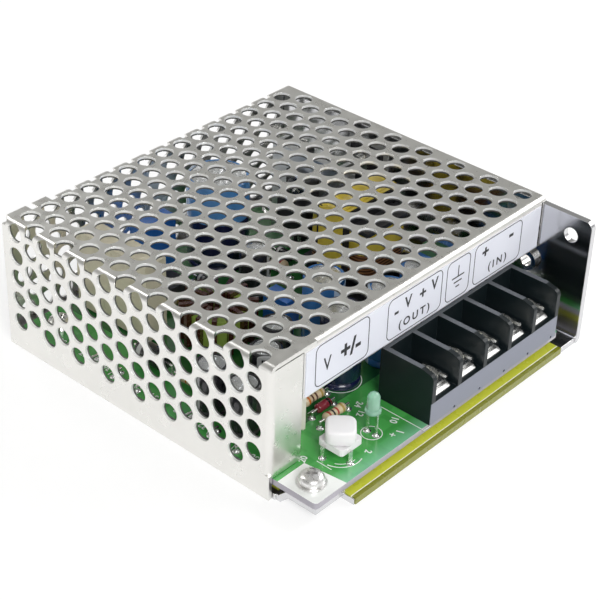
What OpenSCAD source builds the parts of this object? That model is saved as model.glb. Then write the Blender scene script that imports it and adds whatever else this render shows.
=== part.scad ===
// Enclosed switching power supply in a perforated case, in millimetres.
// An aluminium chassis (base and right wall) carries the circuit board. A folded,
// perforated cover closes the top, left and rear. A barrier terminal block, a trimmer
// and an indicator lamp stand in the open wiring bay at the front (-Y).
// The origin is at the middle of the base's underside. +Z is up.

/* [Case] */
// Width of the case, along the terminals
body_w = 97; // [94:0.5:120]
// Length of the case, from the wiring edge to the rear
body_l = 99; // [96:0.5:130]
// Height of the case
body_h = 35; // [34:0.5:45]
// Depth of the open wiring bay in front of the cover
bay_depth = 14.3; // [14:0.1:16]

/* [Chassis] */
// Thickness of the chassis sheet
chassis_t = 1.5; // [1:0.1:1.8]
// Inside radius of the chassis folds
chassis_fold_r = 0.8; // [0.4:0.1:1.5]
// Height of the low upstand along the left and rear edges of the base
upstand_h = 3.4; // [2.6:0.1:3.6]
// Radius of the wall's upper front corner
wall_corner_r = 2; // [1:0.5:5]
// Width of the joggled corner tab at the front left
tab_w = 9.9; // [8:0.1:12]
// Length of the joggled corner tab
tab_l = 13.5; // [12:0.5:16]
// Diameter of the keyhole high on the wall's front
wall_hole_d = 3.8; // [3:0.1:4.5]

/* [Cover] */
// Thickness of the cover sheet
cover_t = 1; // [0.6:0.1:1.2]
// Inside radius of the cover folds
cover_fold_r = 0.6; // [0.3:0.1:1]
// Height of the flange that carries the label
flange_h = 13.4; // [11:0.1:14]
// Width of the upright return flange at the front left
return_w = 9.9; // [8:0.1:11]
// Gap between the cover's edges and the piece that they pass
cover_gap = 0.2; // [0.1:0.05:0.4]
// Length of the ears that fasten the cover to the wall
ear_l = 9; // [8:0.5:12]

/* [Perforation] */
// Diameter of the holes in the cover
mesh_d = 4.6; // [3.6:0.1:4.8]
// Distance between holes in one row
mesh_pitch = 6.14; // [5.6:0.02:7]
// Distance between neighbouring rows
mesh_row_pitch = 5.03; // [4.8:0.01:6]
// Plain margin from the cover's front to the first row of holes
mesh_margin_front = 2.6; // [1.5:0.1:5]
// Plain margin at the cover's right edge
mesh_margin_right = 0.7; // [0.5:0.1:3]
// Plain margin at the bottom edges of the left and rear sides
mesh_margin_bottom = 2.6; // [2:0.1:6]
// Distance of the first column's centre from the left face
mesh_first_x = 1.9; // [1.5:0.1:3]

/* [Circuit board] */
// Thickness of the circuit board
board_t = 1.6; // [1.2:0.1:2]
// Height of the board's underside above the table
board_z = 3.8; // [3.4:0.1:5]
// Distance from the left face to the board's edge
board_left = 1.3; // [1.2:0.1:2]
// Distance from the wiring edge to the board's front edge
board_front = 2.1; // [1.6:0.1:3]
// Distance from the board's right edge to the wall's outer face
board_side_gap = 7; // [6:0.1:8]
// Distance from the board's rear edge to the case's rear
board_rear_gap = 2.9; // [2.5:0.1:4]
// Thickness of the insulating sheet under the board
sheet_t = 0.3; // [0.2:0.05:0.4]

/* [Screws] */
// Diameter of the thread of every case and board screw
thread_d = 3; // [2.5:0.1:3]
// Radial clearance of a screw in its tapped hole
thread_gap = 0.05; // [0.02:0.01:0.08]
// Diameter of a pan head
pan_d = 5.6; // [5:0.1:6]
// Height of a pan head
pan_h = 2; // [1.4:0.1:2.4]
// Diameter of the washer under a board screw
washer_d = 6.8; // [6:0.1:7]
// Thickness of that washer
washer_t = 0.6; // [0.4:0.1:0.8]

/* [Terminal block] */
// Number of terminals
ways = 5; // [3:1:5]
// Distance between terminals
way_pitch = 9.5; // [9:0.1:9.6]
// Thickness of the barriers between terminals
barrier_t = 1.3; // [1:0.1:1.6]
// Depth of the block, front to rear
block_depth = 15; // [13:0.1:15.4]
// Height of the barriers above the board
barrier_h = 14; // [13.6:0.1:14.6]
// Height of the front lip above the board
lip_h = 6; // [5:0.1:6.4]
// Distance from the wiring edge to the block's front face
block_front = 1.5; // [1:0.1:1.6]
// Distance from the block's right end to the wall
block_gap = 7.8; // [7.6:0.1:9]
// Thickness of a contact plate
contact_t = 0.9; // [0.7:0.1:1.2]
// Width of a contact plate
contact_w = 5.6; // [5.4:0.1:7]
// Side of a square clamp plate
clamp_w = 7; // [6:0.1:7.2]
// Thickness of a clamp plate
clamp_t = 0.8; // [0.6:0.1:1.1]
// Travel of a clamp plate when its screw is undone
clamp_travel = 2; // [1:0.1:2.2]
// Diameter of a terminal screw's head
terminal_head_d = 6; // [5:0.1:6.4]
// Height of a terminal screw's head
terminal_head_h = 1.8; // [1.6:0.1:2.4]

/* [Trimmer and lamp] */
// Width across the flats of the trimmer's knob
knob_w = 6.8; // [5:0.1:7.4]
// Height of the knob
knob_h = 3.5; // [2.5:0.1:4.5]
// Side of the trimmer's square body
trimmer_w = 7; // [6:0.1:8]
// Height of the trimmer's body
trimmer_h = 1.6; // [1.4:0.1:2.6]
// Height of the trimmer's body above the board
trimmer_stand = 2.5; // [1:0.1:3]
// Diameter of the indicator lamp
lamp_d = 3; // [3:0.1:5]
// Length of the lamp's lens
lamp_l = 5.4; // [4:0.1:7]
// Height of the lamp above the board
lamp_stand = 5.9; // [3:0.1:8]

/* [Parts on the board] */
// Height of the tall parts: transformer and heatsink
tall_h = 25; // [20:0.5:27]
// Diameter of the reservoir capacitor
reservoir_d = 16; // [12:0.5:17]
// Diameter of the output capacitors
output_cap_d = 10; // [8:0.5:10.5]
// Height of the output capacitors
output_cap_h = 20; // [14:0.5:24]
// Width of the transformer, square in plan
transformer_w = 21; // [18:0.5:22]
// Diameter of the output choke's ring
choke_d = 19; // [16:0.5:20]
// Diameter of component wires
wire_d = 0.6; // [0.5:0.1:0.8]

/* [Hidden] */
$fn = 48;
slack = 0.01;

// Levels and planes that several pieces share
board_top = board_z + board_t;
base_top = chassis_t;
wall_x = body_w - chassis_t;
wall_top = body_h - cover_t;
cover_y = bay_depth;
flange_x = return_w + cover_gap;
flange_end_x = wall_x - cover_gap;
board_w = body_w - board_left - board_side_gap;
board_l = body_l - board_front - board_rear_gap;
board_right = board_left + board_w;
board_rear = board_front + board_l;
board_mid_x = board_left + board_w / 2;
base_left = cover_t + cover_gap;
base_rear = body_l - cover_t - cover_gap;
tap_r = thread_d / 2 + thread_gap;
clear_r = thread_d / 2 + 0.2;

// Places on the board, measured from the left face and the wiring edge
corner_at = [board_left + 4.7, board_front + 5.4];
boss_r = 5;
boss_at = [[board_left + 6.5, board_rear - 6.5],
           [board_right - 6.5, board_rear - 6.5],
           [board_right - 5.5, block_front + block_depth + 4.2]];
mount_dx = body_w - 42;
mount_dy = body_l - 29;
mount_mid = [body_w / 2, body_l / 2 + 4];
insert_z = body_h / 2;
insert_y = [16.2, body_l - 16.2];
ear_screw = [[cover_y + 5.5, body_h - 7], [body_l - 6, body_h / 2]];

// A place on the board, as shares of its width and length
function spot(u, v) = [board_left + u * board_w, board_front + v * board_l];
// Components grow and shrink with the board that carries them
grow = min(board_w / 88.7, board_l / 94);
// Components with a size of their own only shrink, where the board leaves less room
fit = min(1, grow);

// Moves a piece that is drawn from the case's lower front left corner
module from_corner() {
    translate([-body_w / 2, -body_l / 2, 0]) children();
}

// Stands children, drawn flat from the board's top, on the board at a place
module on_board(at) {
    translate([at[0], at[1], board_top]) children();
}

// ---------- folded sheet ----------

// Section of a right-angled fold: the outer corner is at the origin, and the legs
// run along +X and +Y
module fold_area(leg_x, leg_y, r) {
    translate([r, 0]) square([leg_x - r, leg_y]);
    translate([0, r]) square([r + slack, leg_y - r]);
    translate([r, r]) circle(r);
}
module fold_section(leg_x, leg_y, t, inside_r) {
    difference() {
        fold_area(leg_x, leg_y, inside_r + t);
        translate([t, t]) fold_area(leg_x, leg_y, inside_r);
    }
}

// Extrudes a section along X, with the section's X along +Y and its Y along +Z
module along_x(len) {
    rotate([90, 0, 90]) linear_extrude(len) children();
}
// Extrudes a section along Y, with the section's X along +X and its Y along +Z
module along_y(len) {
    translate([0, len, 0]) rotate([90, 0, 0]) linear_extrude(len) children();
}

// ---------- chassis ----------

// Round boss pressed up from the base to carry the board
module boss_blank() {
    cylinder(h = board_z, r1 = boss_r, r2 = boss_r - 1.6);
}
module boss_hollow() {
    translate([0, 0, -slack])
        cylinder(h = board_z - chassis_t + slack, r1 = boss_r - 1, r2 = boss_r - 2.6);
    translate([0, 0, -1]) cylinder(h = board_z + 2, r = tap_r);
}

// Slanted tab that lifts the board's front left corner
module corner_tab() {
    rise = board_z - chassis_t;
    translate([base_left + 0.3, 0, 0]) along_x(tab_w - 0.3)
        polygon([[board_front + 0.2, rise], [tab_l - rise - 1.2, rise], [tab_l - 1.2, 0],
                 [tab_l + 1, 0], [tab_l + 1, chassis_t], [tab_l - 0.6, chassis_t],
                 [tab_l - rise - 0.6, board_z], [board_front + 0.2, board_z]]);
}

module wall_profile() {
    difference() {
        translate([wall_x, 0, 0]) cube([chassis_t, body_l, wall_top]);
        translate([wall_x - 1, 0, wall_top])
            rotate([0, 90, 0]) difference() {
                translate([-slack, -slack, 0]) cube([wall_corner_r, wall_corner_r, chassis_t + 2]);
                translate([wall_corner_r, wall_corner_r, -1])
                    cylinder(h = chassis_t + 4, r = wall_corner_r);
            }
    }
}

module chassis() {
    notch = base_left + tab_w + 0.6;
    color("silver") from_corner() difference() {
        union() {
            difference() {
                union() {
                    translate([base_left, sheet_t, 0])
                        cube([wall_x - base_left, base_rear - sheet_t, chassis_t]);
                    translate([base_left, tab_l + 3, 0])
                        cube([chassis_t, base_rear - tab_l - 3, upstand_h]);
                    translate([base_left, base_rear - chassis_t, 0])
                        cube([wall_x - base_left, chassis_t, upstand_h]);
                    wall_profile();
                    translate([wall_x - chassis_fold_r, sheet_t, chassis_t])
                        cube([chassis_fold_r + slack, base_rear - sheet_t, chassis_fold_r]);
                    for (p = boss_at) translate([p[0], p[1], 0]) boss_blank();
                }
                translate([-1, -1, -1]) cube([notch + 1, tab_l + 1, chassis_t + 2]);
                translate([wall_x - chassis_fold_r, -1, chassis_t + chassis_fold_r])
                    rotate([-90, 0, 0]) cylinder(h = body_l + 2, r = chassis_fold_r);
            }
            corner_tab();
        }
        // outer edge of the fold between base and wall
        translate([body_w, -1, 0]) rotate([-90, 0, 0]) difference() {
            translate([-chassis_t, -chassis_t, 0]) cube([2 * chassis_t, 2 * chassis_t, body_l + 2]);
            translate([-chassis_t, -chassis_t, -1]) cylinder(h = body_l + 4, r = chassis_t);
        }
        for (p = boss_at) translate([p[0], p[1], 0]) boss_hollow();
        translate([corner_at[0], corner_at[1], -1]) cylinder(h = board_z + 2, r = tap_r);
        // tapped mounting holes in the base
        for (sx = [-1, 1], sy = [-1, 1])
            translate([mount_mid[0] + sx * mount_dx / 2, mount_mid[1] + sy * mount_dy / 2, -1])
                cylinder(h = chassis_t + 2, r = thread_d / 2);
        // holes in the wall
        translate([wall_x - 1, 5.5, body_h - 6.2]) rotate([0, 90, 0])
            cylinder(h = chassis_t + 2, d = wall_hole_d);
        for (y = insert_y) translate([wall_x - 1, y, insert_z]) rotate([0, 90, 0])
            cylinder(h = chassis_t + 2, r = 2.1);
        for (e = ear_screw) translate([wall_x, e[0], e[1]]) rotate([0, 90, 0]) {
            translate([0, 0, -1]) cylinder(h = chassis_t + 2, r = clear_r);
            translate([0, 0, 0.1]) cylinder(h = chassis_t, r1 = thread_d / 2 + 0.25, r2 = 3.2);
        }
        translate([wall_x, rectifier_y, rectifier_hole_z]) rotate([0, 90, 0]) {
            translate([0, 0, -1]) cylinder(h = chassis_t + 2, r = clear_r);
            translate([0, 0, 0.1]) cylinder(h = chassis_t, r1 = thread_d / 2 + 0.25, r2 = 3.2);
        }
    }
}

// ---------- cover ----------

// Holes stand in rows along X. Alternate rows are shifted by half a pitch, and the
// pattern goes on over the folds as it was punched in the flat sheet.
mesh_r = mesh_d / 2;
fold_saving = 2 * (cover_fold_r + cover_t) - PI / 2 * (cover_fold_r + cover_t / 2);
mesh_first_y = cover_y + mesh_margin_front + mesh_r;
mesh_rows = floor((body_l - mesh_r - 1.4 - mesh_first_y) / mesh_row_pitch);
function row_y(j) = mesh_first_y + j * mesh_row_pitch;
function row_shift(j) = (j % 2) * mesh_pitch / 2;
function top_xs(j) = [for (x = mesh_first_x + row_shift(j); x <= body_w - mesh_margin_right - mesh_r + 0.05;
                           x = x + mesh_pitch) x];
// Heights on the left side, counted down from the hole nearest the fold
function side_zs(j) = [for (z = body_h - mesh_pitch + mesh_first_x + row_shift(j) - fold_saving;
                            z >= mesh_margin_bottom + mesh_r; z = z - mesh_pitch) z];
// Heights of the rear rows, counted on from the last row of the top
rear_first_z = body_h + body_l - fold_saving - row_y(mesh_rows + 1);
rear_rows = floor((rear_first_z - mesh_margin_bottom - mesh_r) / mesh_row_pitch);

module top_holes() {
    for (j = [0:mesh_rows], x = top_xs(j))
        translate([x, row_y(j), body_h - cover_t - 1.4])
            cylinder(h = cover_t + 3, r = mesh_r);
}
module side_holes() {
    for (j = [0:mesh_rows], z = side_zs(j))
        translate([-1, row_y(j), z]) rotate([0, 90, 0])
            cylinder(h = cover_t + 2.4, r = mesh_r);
}
module rear_holes() {
    for (j = [0:rear_rows], x = top_xs(mesh_rows + 1 + j))
        if (x > mesh_r + cover_t + 1.4 && x < wall_x - mesh_r - 1.6)
            translate([x, body_l - cover_t - 1.4, rear_first_z - j * mesh_row_pitch])
                rotate([-90, 0, 0]) cylinder(h = cover_t + 3, r = mesh_r);
}

// Top and front flange and rear, one strip folded twice about X
module cover_long_strip() {
    half = body_l / 2;
    translate([flange_x, cover_y, 0]) along_x(body_w - flange_x)
        translate([0, body_h]) mirror([0, 1])
            fold_section(half, flange_h, cover_t, cover_fold_r);
    translate([base_left, body_l, 0]) along_x(body_w - base_left)
        translate([0, body_h]) mirror([0, 1]) mirror([1, 0])
            fold_section(half, body_h, cover_t, cover_fold_r);
}

// Left side with the top's edge, folded about Y
module cover_left_strip() {
    translate([0, cover_y, 0]) along_y(body_l - cover_y)
        translate([0, body_h]) mirror([0, 1])
            fold_section(flange_x + 4, body_h, cover_t, cover_fold_r);
}

// Return flange, folded about Z from the left side's front edge
module cover_return() {
    bottom = board_top + cover_gap;
    translate([0, cover_y, bottom])
        linear_extrude(body_h - cover_t - 0.3 - bottom)
            fold_section(return_w, 12, cover_t, cover_fold_r);
}

// Ears that lie against the wall's inside and take the cover screws
module cover_ear(y, z, dir) {
    translate([flange_end_x, y, z - 4]) mirror([1, 0, 0])
        linear_extrude(8) mirror([0, dir < 0 ? 1 : 0]) translate([0, 0])
            fold_section(6, ear_l, cover_t, cover_fold_r);
}

module cover() {
    color("gainsboro") from_corner() difference() {
        union() {
            difference() {
                union() {
                    cover_long_strip();
                    cover_left_strip();
                }
                // the flange and the rear stop short of the wall
                translate([flange_end_x, cover_y - 1, -1])
                    cube([body_w, cover_t + cover_fold_r + 1, wall_top + 1]);
                translate([flange_end_x, body_l - cover_t - cover_fold_r, -1])
                    cube([body_w, body_l, wall_top + 1]);
                // the left side's front fold is rounded about Z
                translate([-1, cover_y - 1, -1])
                    cube([flange_x + 1 - cover_gap, cover_t + cover_fold_r + 1, wall_top - 0.3 + 1]);
            }
            cover_return();
            cover_lower_front();
            cover_ear(cover_y, ear_screw[0][1], 1);
            cover_ear(body_l, ear_screw[1][1], -1);
        }
        top_holes();
        side_holes();
        rear_holes();
        // relief where the folds of the top, left side and rear meet
        translate([0, body_l, body_h - cover_t - 0.6]) cylinder(h = 3, r = 1.4);
        for (e = ear_screw) translate([flange_end_x - cover_t - 1, e[0], e[1]])
            rotate([0, 90, 0]) cylinder(h = cover_t + 2, r = tap_r);
    }
}
// Front edge of the left side below the return flange
module cover_lower_front() {
    translate([0, cover_y, 0]) cube([cover_t, cover_t + cover_fold_r + slack, board_top + 1]);
}

module front_label() {
    label_t = 0.2;
    edge = 0.5;
    w = flange_end_x - flange_x - 2 * edge;
    h = flange_h - cover_t - cover_fold_r - edge;
    color([0.9, 0.91, 0.95]) from_corner()
        translate([flange_x + edge, cover_y - label_t, body_h - flange_h + edge])
            cube([w, label_t, h]);
}

// ---------- board and its fixings ----------

module insulating_sheet() {
    notch = base_left + tab_w + 0.9;
    left = base_left + chassis_t + 0.3;
    rear = base_rear - chassis_t - 0.3;
    color([0.75, 0.82, 0.2]) from_corner() difference() {
        union() {
            translate([left, 0, base_top]) cube([board_right - 1 - left, rear, sheet_t]);
            translate([notch, 0, 0.1]) cube([board_right - 1 - notch, sheet_t, base_top]);
        }
        translate([0, -1, -1]) cube([notch, tab_l + 1.6, base_top + 2]);
        for (p = boss_at) translate([p[0], p[1], 0]) cylinder(h = base_top + 1, r = boss_r + 0.6);
    }
}

module circuit_board() {
    corner_r = 1;
    color("seagreen") from_corner() difference() {
        translate([board_left, board_front, board_z]) cube([board_w, board_l, board_t]);
        for (p = concat([corner_at], boss_at))
            translate([p[0], p[1], board_z - 1]) cylinder(h = board_t + 2, r = clear_r);
        for (x = [0, 1], y = [0, 1])
            translate([board_left + x * board_w, board_front + y * board_l, board_z - 1])
                rotate([0, 0, 90 * (x + y) + (x < y ? 180 : 0)]) difference() {
                    translate([-slack, -slack, 0]) cube([corner_r, corner_r, board_t + 2]);
                    translate([corner_r, corner_r, -1]) cylinder(h = board_t + 4, r = corner_r);
                }
    }
}

// Pan-head screw with its washer; the seat is at z = 0 and the shank points down
module pan_screw(shank) {
    difference() {
        union() {
            translate([0, 0, -shank]) cylinder(h = shank + slack, d = thread_d);
            cylinder(h = washer_t, d = washer_d);
            translate([0, 0, washer_t]) cylinder(h = pan_h * 0.6, d = pan_d);
            translate([0, 0, washer_t + pan_h * 0.6])
                cylinder(h = pan_h * 0.4, d1 = pan_d, d2 = pan_d * 0.62);
        }
        translate([0, 0, washer_t + pan_h * 0.4]) cross_recess(pan_d * 0.55);
    }
}
module cross_recess(w) {
    for (a = [0, 90]) rotate([0, 0, a]) translate([-w / 2, -0.35, 0]) cube([w, 0.7, 4]);
}
module corner_screw() {
    color("silver") from_corner() on_board(corner_at) rotate([0, 0, 40]) pan_screw(board_t + chassis_t + 0.6);
}
module board_screws() {
    color("silver") from_corner()
        for (p = boss_at) on_board(p) pan_screw(board_t + chassis_t + 0.6);
}

// Countersunk screw along +X; its flat face is at x = 0
module flush_screw(len) {
    rotate([0, -90, 0]) difference() {
        union() {
            cylinder(h = 1.35, r1 = 2.9, r2 = thread_d / 2);
            cylinder(h = len, d = thread_d);
        }
        translate([0, 0, -3.4]) cross_recess(3);
    }
}
module cover_screws() {
    color("silver") from_corner() for (e = ear_screw)
        translate([body_w, e[0], e[1]]) flush_screw(5);
}

// Clinched threaded inserts for fixing the case by its wall
module side_inserts() {
    color("lightgray") from_corner() for (y = insert_y)
        translate([wall_x - 1.3, y, insert_z]) rotate([0, 90, 0]) difference() {
            union() {
                cylinder(h = 1.3, r = 2.7);
                cylinder(h = 1.3 + chassis_t - 0.2, r = 2.08);
            }
            translate([0, 0, -1]) cylinder(h = 6, d = thread_d);
        }
}

// ---------- terminal block ----------

block_w = ways * way_pitch + barrier_t;
block_left = wall_x - block_gap - block_w;
contact_z = board_top + lip_h;
clamp_gap = 0.1;
clamp_z = contact_z + contact_t + clamp_gap;
screw_at_y = block_front + 6;
well_r = 2.6;
rear_wall_t = 1.3;
pin_w = 2.6;
collar_h = 1.6;
contact_front = block_front + 1.2;
contact_rear = block_front + block_depth - rear_wall_t - 0.3;
function way_x(i) = block_left + barrier_t / 2 + way_pitch * (i - 0.5);

// Side view of a barrier: the front corner is eased and the top slopes to the front
module barrier_profile() {
    polygon([[0, 0], [0, barrier_h - 1.8], [0.3, barrier_h - 1.1], [1, barrier_h - 0.7],
             [3.8, barrier_h], [block_depth, barrier_h], [block_depth, 0]]);
}

module terminal_block() {
    color([0.12, 0.13, 0.15]) from_corner() difference() {
        translate([block_left, block_front, board_top]) union() {
            cube([block_w, block_depth, lip_h]);
            for (i = [0:ways]) translate([i * way_pitch, 0, 0])
                along_x(barrier_t) barrier_profile();
            translate([0, block_depth - rear_wall_t, 0])
                cube([block_w, rear_wall_t, barrier_h]);
        }
        for (i = [1:ways]) translate([way_x(i), 0, 0]) {
            // well under each screw, slot for each pin and small moulding holes
            translate([0, screw_at_y, board_top + 0.8]) cylinder(h = lip_h + 4, r = well_r);
            translate([-pin_w / 2 - 0.1, contact_rear - contact_t - 0.2, board_top - 1])
                cube([pin_w + 0.2, contact_t + 0.4, lip_h + 2]);
            translate([way_pitch / 2 - 1.2, block_front - 1, board_top + 0.5])
                rotate([-90, 0, 0]) cylinder(h = 1.6, d = 0.7);
        }
    }
}

module terminal_contacts() {
    color("silver") from_corner() for (i = [1:ways]) translate([way_x(i), 0, 0]) difference() {
        union() {
            // the front end is chamfered to lead the wire in
            translate([-contact_w / 2, 0, contact_z]) along_x(contact_w)
                polygon([[contact_front, 0], [contact_front, contact_t * 0.25],
                         [contact_front + contact_t * 0.75, contact_t],
                         [contact_rear, contact_t], [contact_rear, 0]]);
            translate([0, screw_at_y, contact_z - collar_h]) cylinder(h = collar_h + slack, r = well_r - 0.2);
            translate([-pin_w / 2, contact_rear - contact_t, board_top])
                cube([pin_w, contact_t, contact_z - board_top + slack]);
        }
        translate([0, screw_at_y, contact_z - 3]) cylinder(h = 8, r = tap_r);
    }
}

module terminal_clamp(i) {
    rib_w = (clamp_w - terminal_head_d) / 2 + 0.1;
    color("gainsboro") from_corner() translate([way_x(i), screw_at_y, clamp_z]) difference() {
        union() {
            translate([-clamp_w / 2, -clamp_w / 2, 0]) cube([clamp_w, clamp_w, clamp_t]);
            // ribs pressed up along both sides keep the plate square to the barriers
            for (s = [-1, 1]) translate([s * (clamp_w - rib_w) / 2 - rib_w / 2, -clamp_w / 2, clamp_t - slack])
                cube([rib_w, clamp_w, 0.4]);
        }
        translate([0, 0, -1]) cylinder(h = clamp_t + 3, r = thread_d / 2 + 0.1);
        // grooves across the underside grip the wire
        for (y = [-2.2, 0, 2.2]) translate([-clamp_w, y - 0.2, -slack])
            cube([2 * clamp_w, 0.4, 0.2]);
    }
}

module terminal_screw(i) {
    head_z = clamp_z + clamp_t + 0.1;
    // long enough to stay in its collar with the clamp lifted
    shank = head_z - contact_z + collar_h + clamp_travel;
    color("silver") from_corner() translate([way_x(i), screw_at_y, head_z]) rotate([0, 0, 25 * i])
        difference() {
            union() {
                translate([0, 0, -shank]) cylinder(h = shank + slack, d = thread_d);
                cylinder(h = terminal_head_h * 0.65, d = terminal_head_d - 0.6);
                translate([0, 0, terminal_head_h * 0.65])
                    cylinder(h = terminal_head_h * 0.35, d1 = terminal_head_d - 0.6,
                             d2 = terminal_head_d * 0.6);
            }
            translate([0, 0, terminal_head_h - 1]) cross_recess(terminal_head_d * 0.55);
            translate([-terminal_head_d, -0.4, terminal_head_h - 0.5]) cube([2 * terminal_head_d, 0.8, 2]);
        }
}

// ---------- trimmer and lamp ----------

trimmer_at = [block_left * 0.46, board_front + 7.8];
knob_turn = 41;
shaft_d = 3;
lamp_at = [block_left * 0.717, board_front + 7.1];

module trimmer_base() {
    corner = 0.8;
    color([0.9, 0.9, 0.86]) from_corner() on_board(trimmer_at) translate([0, 0, trimmer_stand])
        difference() {
            union() {
                rounded_bar(trimmer_w, trimmer_w, corner, trimmer_h);
                cylinder(h = trimmer_h + 0.15, r = shaft_d / 2 + 0.9);
            }
            translate([0, 0, 0.5]) cylinder(h = trimmer_h + 2, r = shaft_d / 2 + 0.05);
        }
}
// Strip legs that leave the body's sides and turn down to the board
module trimmer_legs() {
    out = 0.45;
    strip_t = 0.35;
    color("silver") from_corner() on_board(trimmer_at)
        for (leg = [[180, -1.4], [270, -1.3], [45, 0]]) rotate([0, 0, leg[0]]) {
            face = leg[1] == 0 ? (trimmer_w / 2 - 0.8) * sqrt(2) + 0.8 : trimmer_w / 2;
            translate([face, leg[1] - 0.5, trimmer_stand + 0.5]) cube([out + strip_t, 1, strip_t]);
            translate([face + out, leg[1] - 0.5, 0]) cube([strip_t, 1, trimmer_stand + 0.6]);
        }
}
module trimmer_knob() {
    bevel = knob_w * 0.28;
    ease = 0.6;
    color("white") from_corner() on_board(trimmer_at)
        translate([0, 0, trimmer_stand + trimmer_h]) rotate([0, 0, knob_turn]) {
            translate([0, 0, 0.6 - trimmer_h]) cylinder(h = trimmer_h, d = shaft_d);
            difference() {
                translate([-knob_w / 2, -knob_w / 2, 0.3]) cube([knob_w, knob_w, knob_h]);
                for (a = [0:90:270]) rotate([0, 0, a])
                    translate([knob_w / 2, knob_w / 2, 0]) difference() {
                        translate([-bevel, -bevel, -1]) cube([2 * bevel, 2 * bevel, knob_h + 3]);
                        translate([-bevel, -bevel, -2]) cylinder(h = knob_h + 5, r = bevel);
                    }
                // the top edge is eased all round
                for (a = [0:90:270]) rotate([0, 0, a])
                    translate([knob_w / 2 - ease, -knob_w, knob_h + 0.3]) rotate([0, 45, 0])
                        translate([-1, 0, 0]) cube([4, 2 * knob_w, 3]);
            }
        }
}

module lamp_lens() {
    color([0.6, 0.85, 0.7]) from_corner() on_board(lamp_at) translate([0, 0, lamp_stand]) {
        cylinder(h = 1.2, d = lamp_d + 0.8);
        cylinder(h = lamp_l - lamp_d / 2, d = lamp_d);
        translate([0, 0, lamp_l - lamp_d / 2]) sphere(d = lamp_d);
    }
}
module lamp_leads() {
    color("silver") from_corner() on_board(lamp_at) for (s = [-1, 1])
        translate([-0.25, s * 1.27 - 0.25, 0]) cube([0.5, 0.5, lamp_stand]);
}

// ---------- wound parts ----------

transformer_at = spot(0.8038, 0.5309);
transformer_side = transformer_w * fit;
module transformer_core() {
    w = transformer_side;
    d = w * 0.42;
    color([0.2, 0.2, 0.21]) from_corner() on_board(transformer_at) difference() {
        translate([-w / 2, -d / 2, 2.4]) cube([w, d, tall_h - 2.4]);
        for (s = [-1, 1]) translate([s * w * 0.29 - w * 0.12, -d, 6]) cube([w * 0.24, 2 * d, tall_h - 9.6]);
    }
}
module transformer_bobbin() {
    w = transformer_side;
    color([0.15, 0.15, 0.16]) from_corner() on_board(transformer_at) difference() {
        union() {
            translate([-w * 0.41 + 0.1, -w / 2, 0]) cube([w * 0.82 - 0.2, w, 2.3]);
            for (z = [6.1, tall_h - 4.8]) translate([-w * 0.41 + 0.15, -w / 2 + 0.5, z])
                difference() {
                    cube([w * 0.82 - 0.3, w - 1, 1.1]);
                    // windows for the core's middle leg and its outer legs
                    translate([w * 0.24 - 0.25, w * 0.27 - 0.5, -1]) cube([w * 0.34 + 0.2, w * 0.46, 4]);
                    for (x = [-w * 0.1, w * 0.76]) translate([x, w * 0.27 - 0.5, -1])
                        cube([w * 0.16, w * 0.46, 4]);
                }
            for (x = [-0.31, 0.31], y = [-1, 1]) translate([x * w - 1, y * w * 0.42 - 1, 2])
                cube([2, 2, 4.3]);
        }
    }
}
module transformer_winding() {
    w = transformer_side;
    inner = w * 0.17 + 0.3;
    color("gold") from_corner() on_board(transformer_at) translate([0, 0, 7.4]) difference() {
        rounded_bar(w * 0.78, w * 0.92, 3.5, tall_h - 12.4);
        for (s = [-1, 1]) translate([s * w * 0.5 - w * 0.09, -w * 0.23, -1]) cube([w * 0.18, w * 0.46, tall_h]);
        translate([-inner, -w * 0.23, -1]) cube([2 * inner, w * 0.46, tall_h]);
    }
}
// Upright bar with rounded edges, centred in plan
module rounded_bar(w, l, r, h) {
    translate([-w / 2 + r, -l / 2, 0]) cube([w - 2 * r, l, h]);
    translate([-w / 2, -l / 2 + r, 0]) cube([w, l - 2 * r, h]);
    for (x = [-1, 1], y = [-1, 1]) translate([x * (w / 2 - r), y * (l / 2 - r), 0]) cylinder(h = h, r = r);
}

choke_at = spot(0.3405, 0.616);
ring_d = choke_d * fit;
choke_core_h = 7;
choke_lift = 0.3;
module choke_core() {
    color("yellowgreen") from_corner() on_board(choke_at) translate([0, 0, choke_lift + 1.4])
        difference() {
            cylinder(h = choke_core_h, d = ring_d - 3);
            translate([0, 0, -1]) cylinder(h = choke_core_h + 2, d = ring_d * 0.5);
        }
}
// Turns of thick wire: one flat loop for each turn, set around the ring
module choke_winding() {
    turns = 14;
    out = ring_d / 2;
    in = ring_d * 0.25 - 1.3;
    color("peru") from_corner() on_board(choke_at) translate([0, 0, choke_lift])
        for (a = [0:turns - 1]) rotate([0, 0, a * 340 / turns]) translate([in, -0.6, 0]) difference() {
            cube([out - in, 1.2, choke_core_h + 2.8]);
            translate([1.2, -1, 1.35]) cube([out - in - 2.6, 4, choke_core_h + 0.1]);
        }
}

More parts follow.
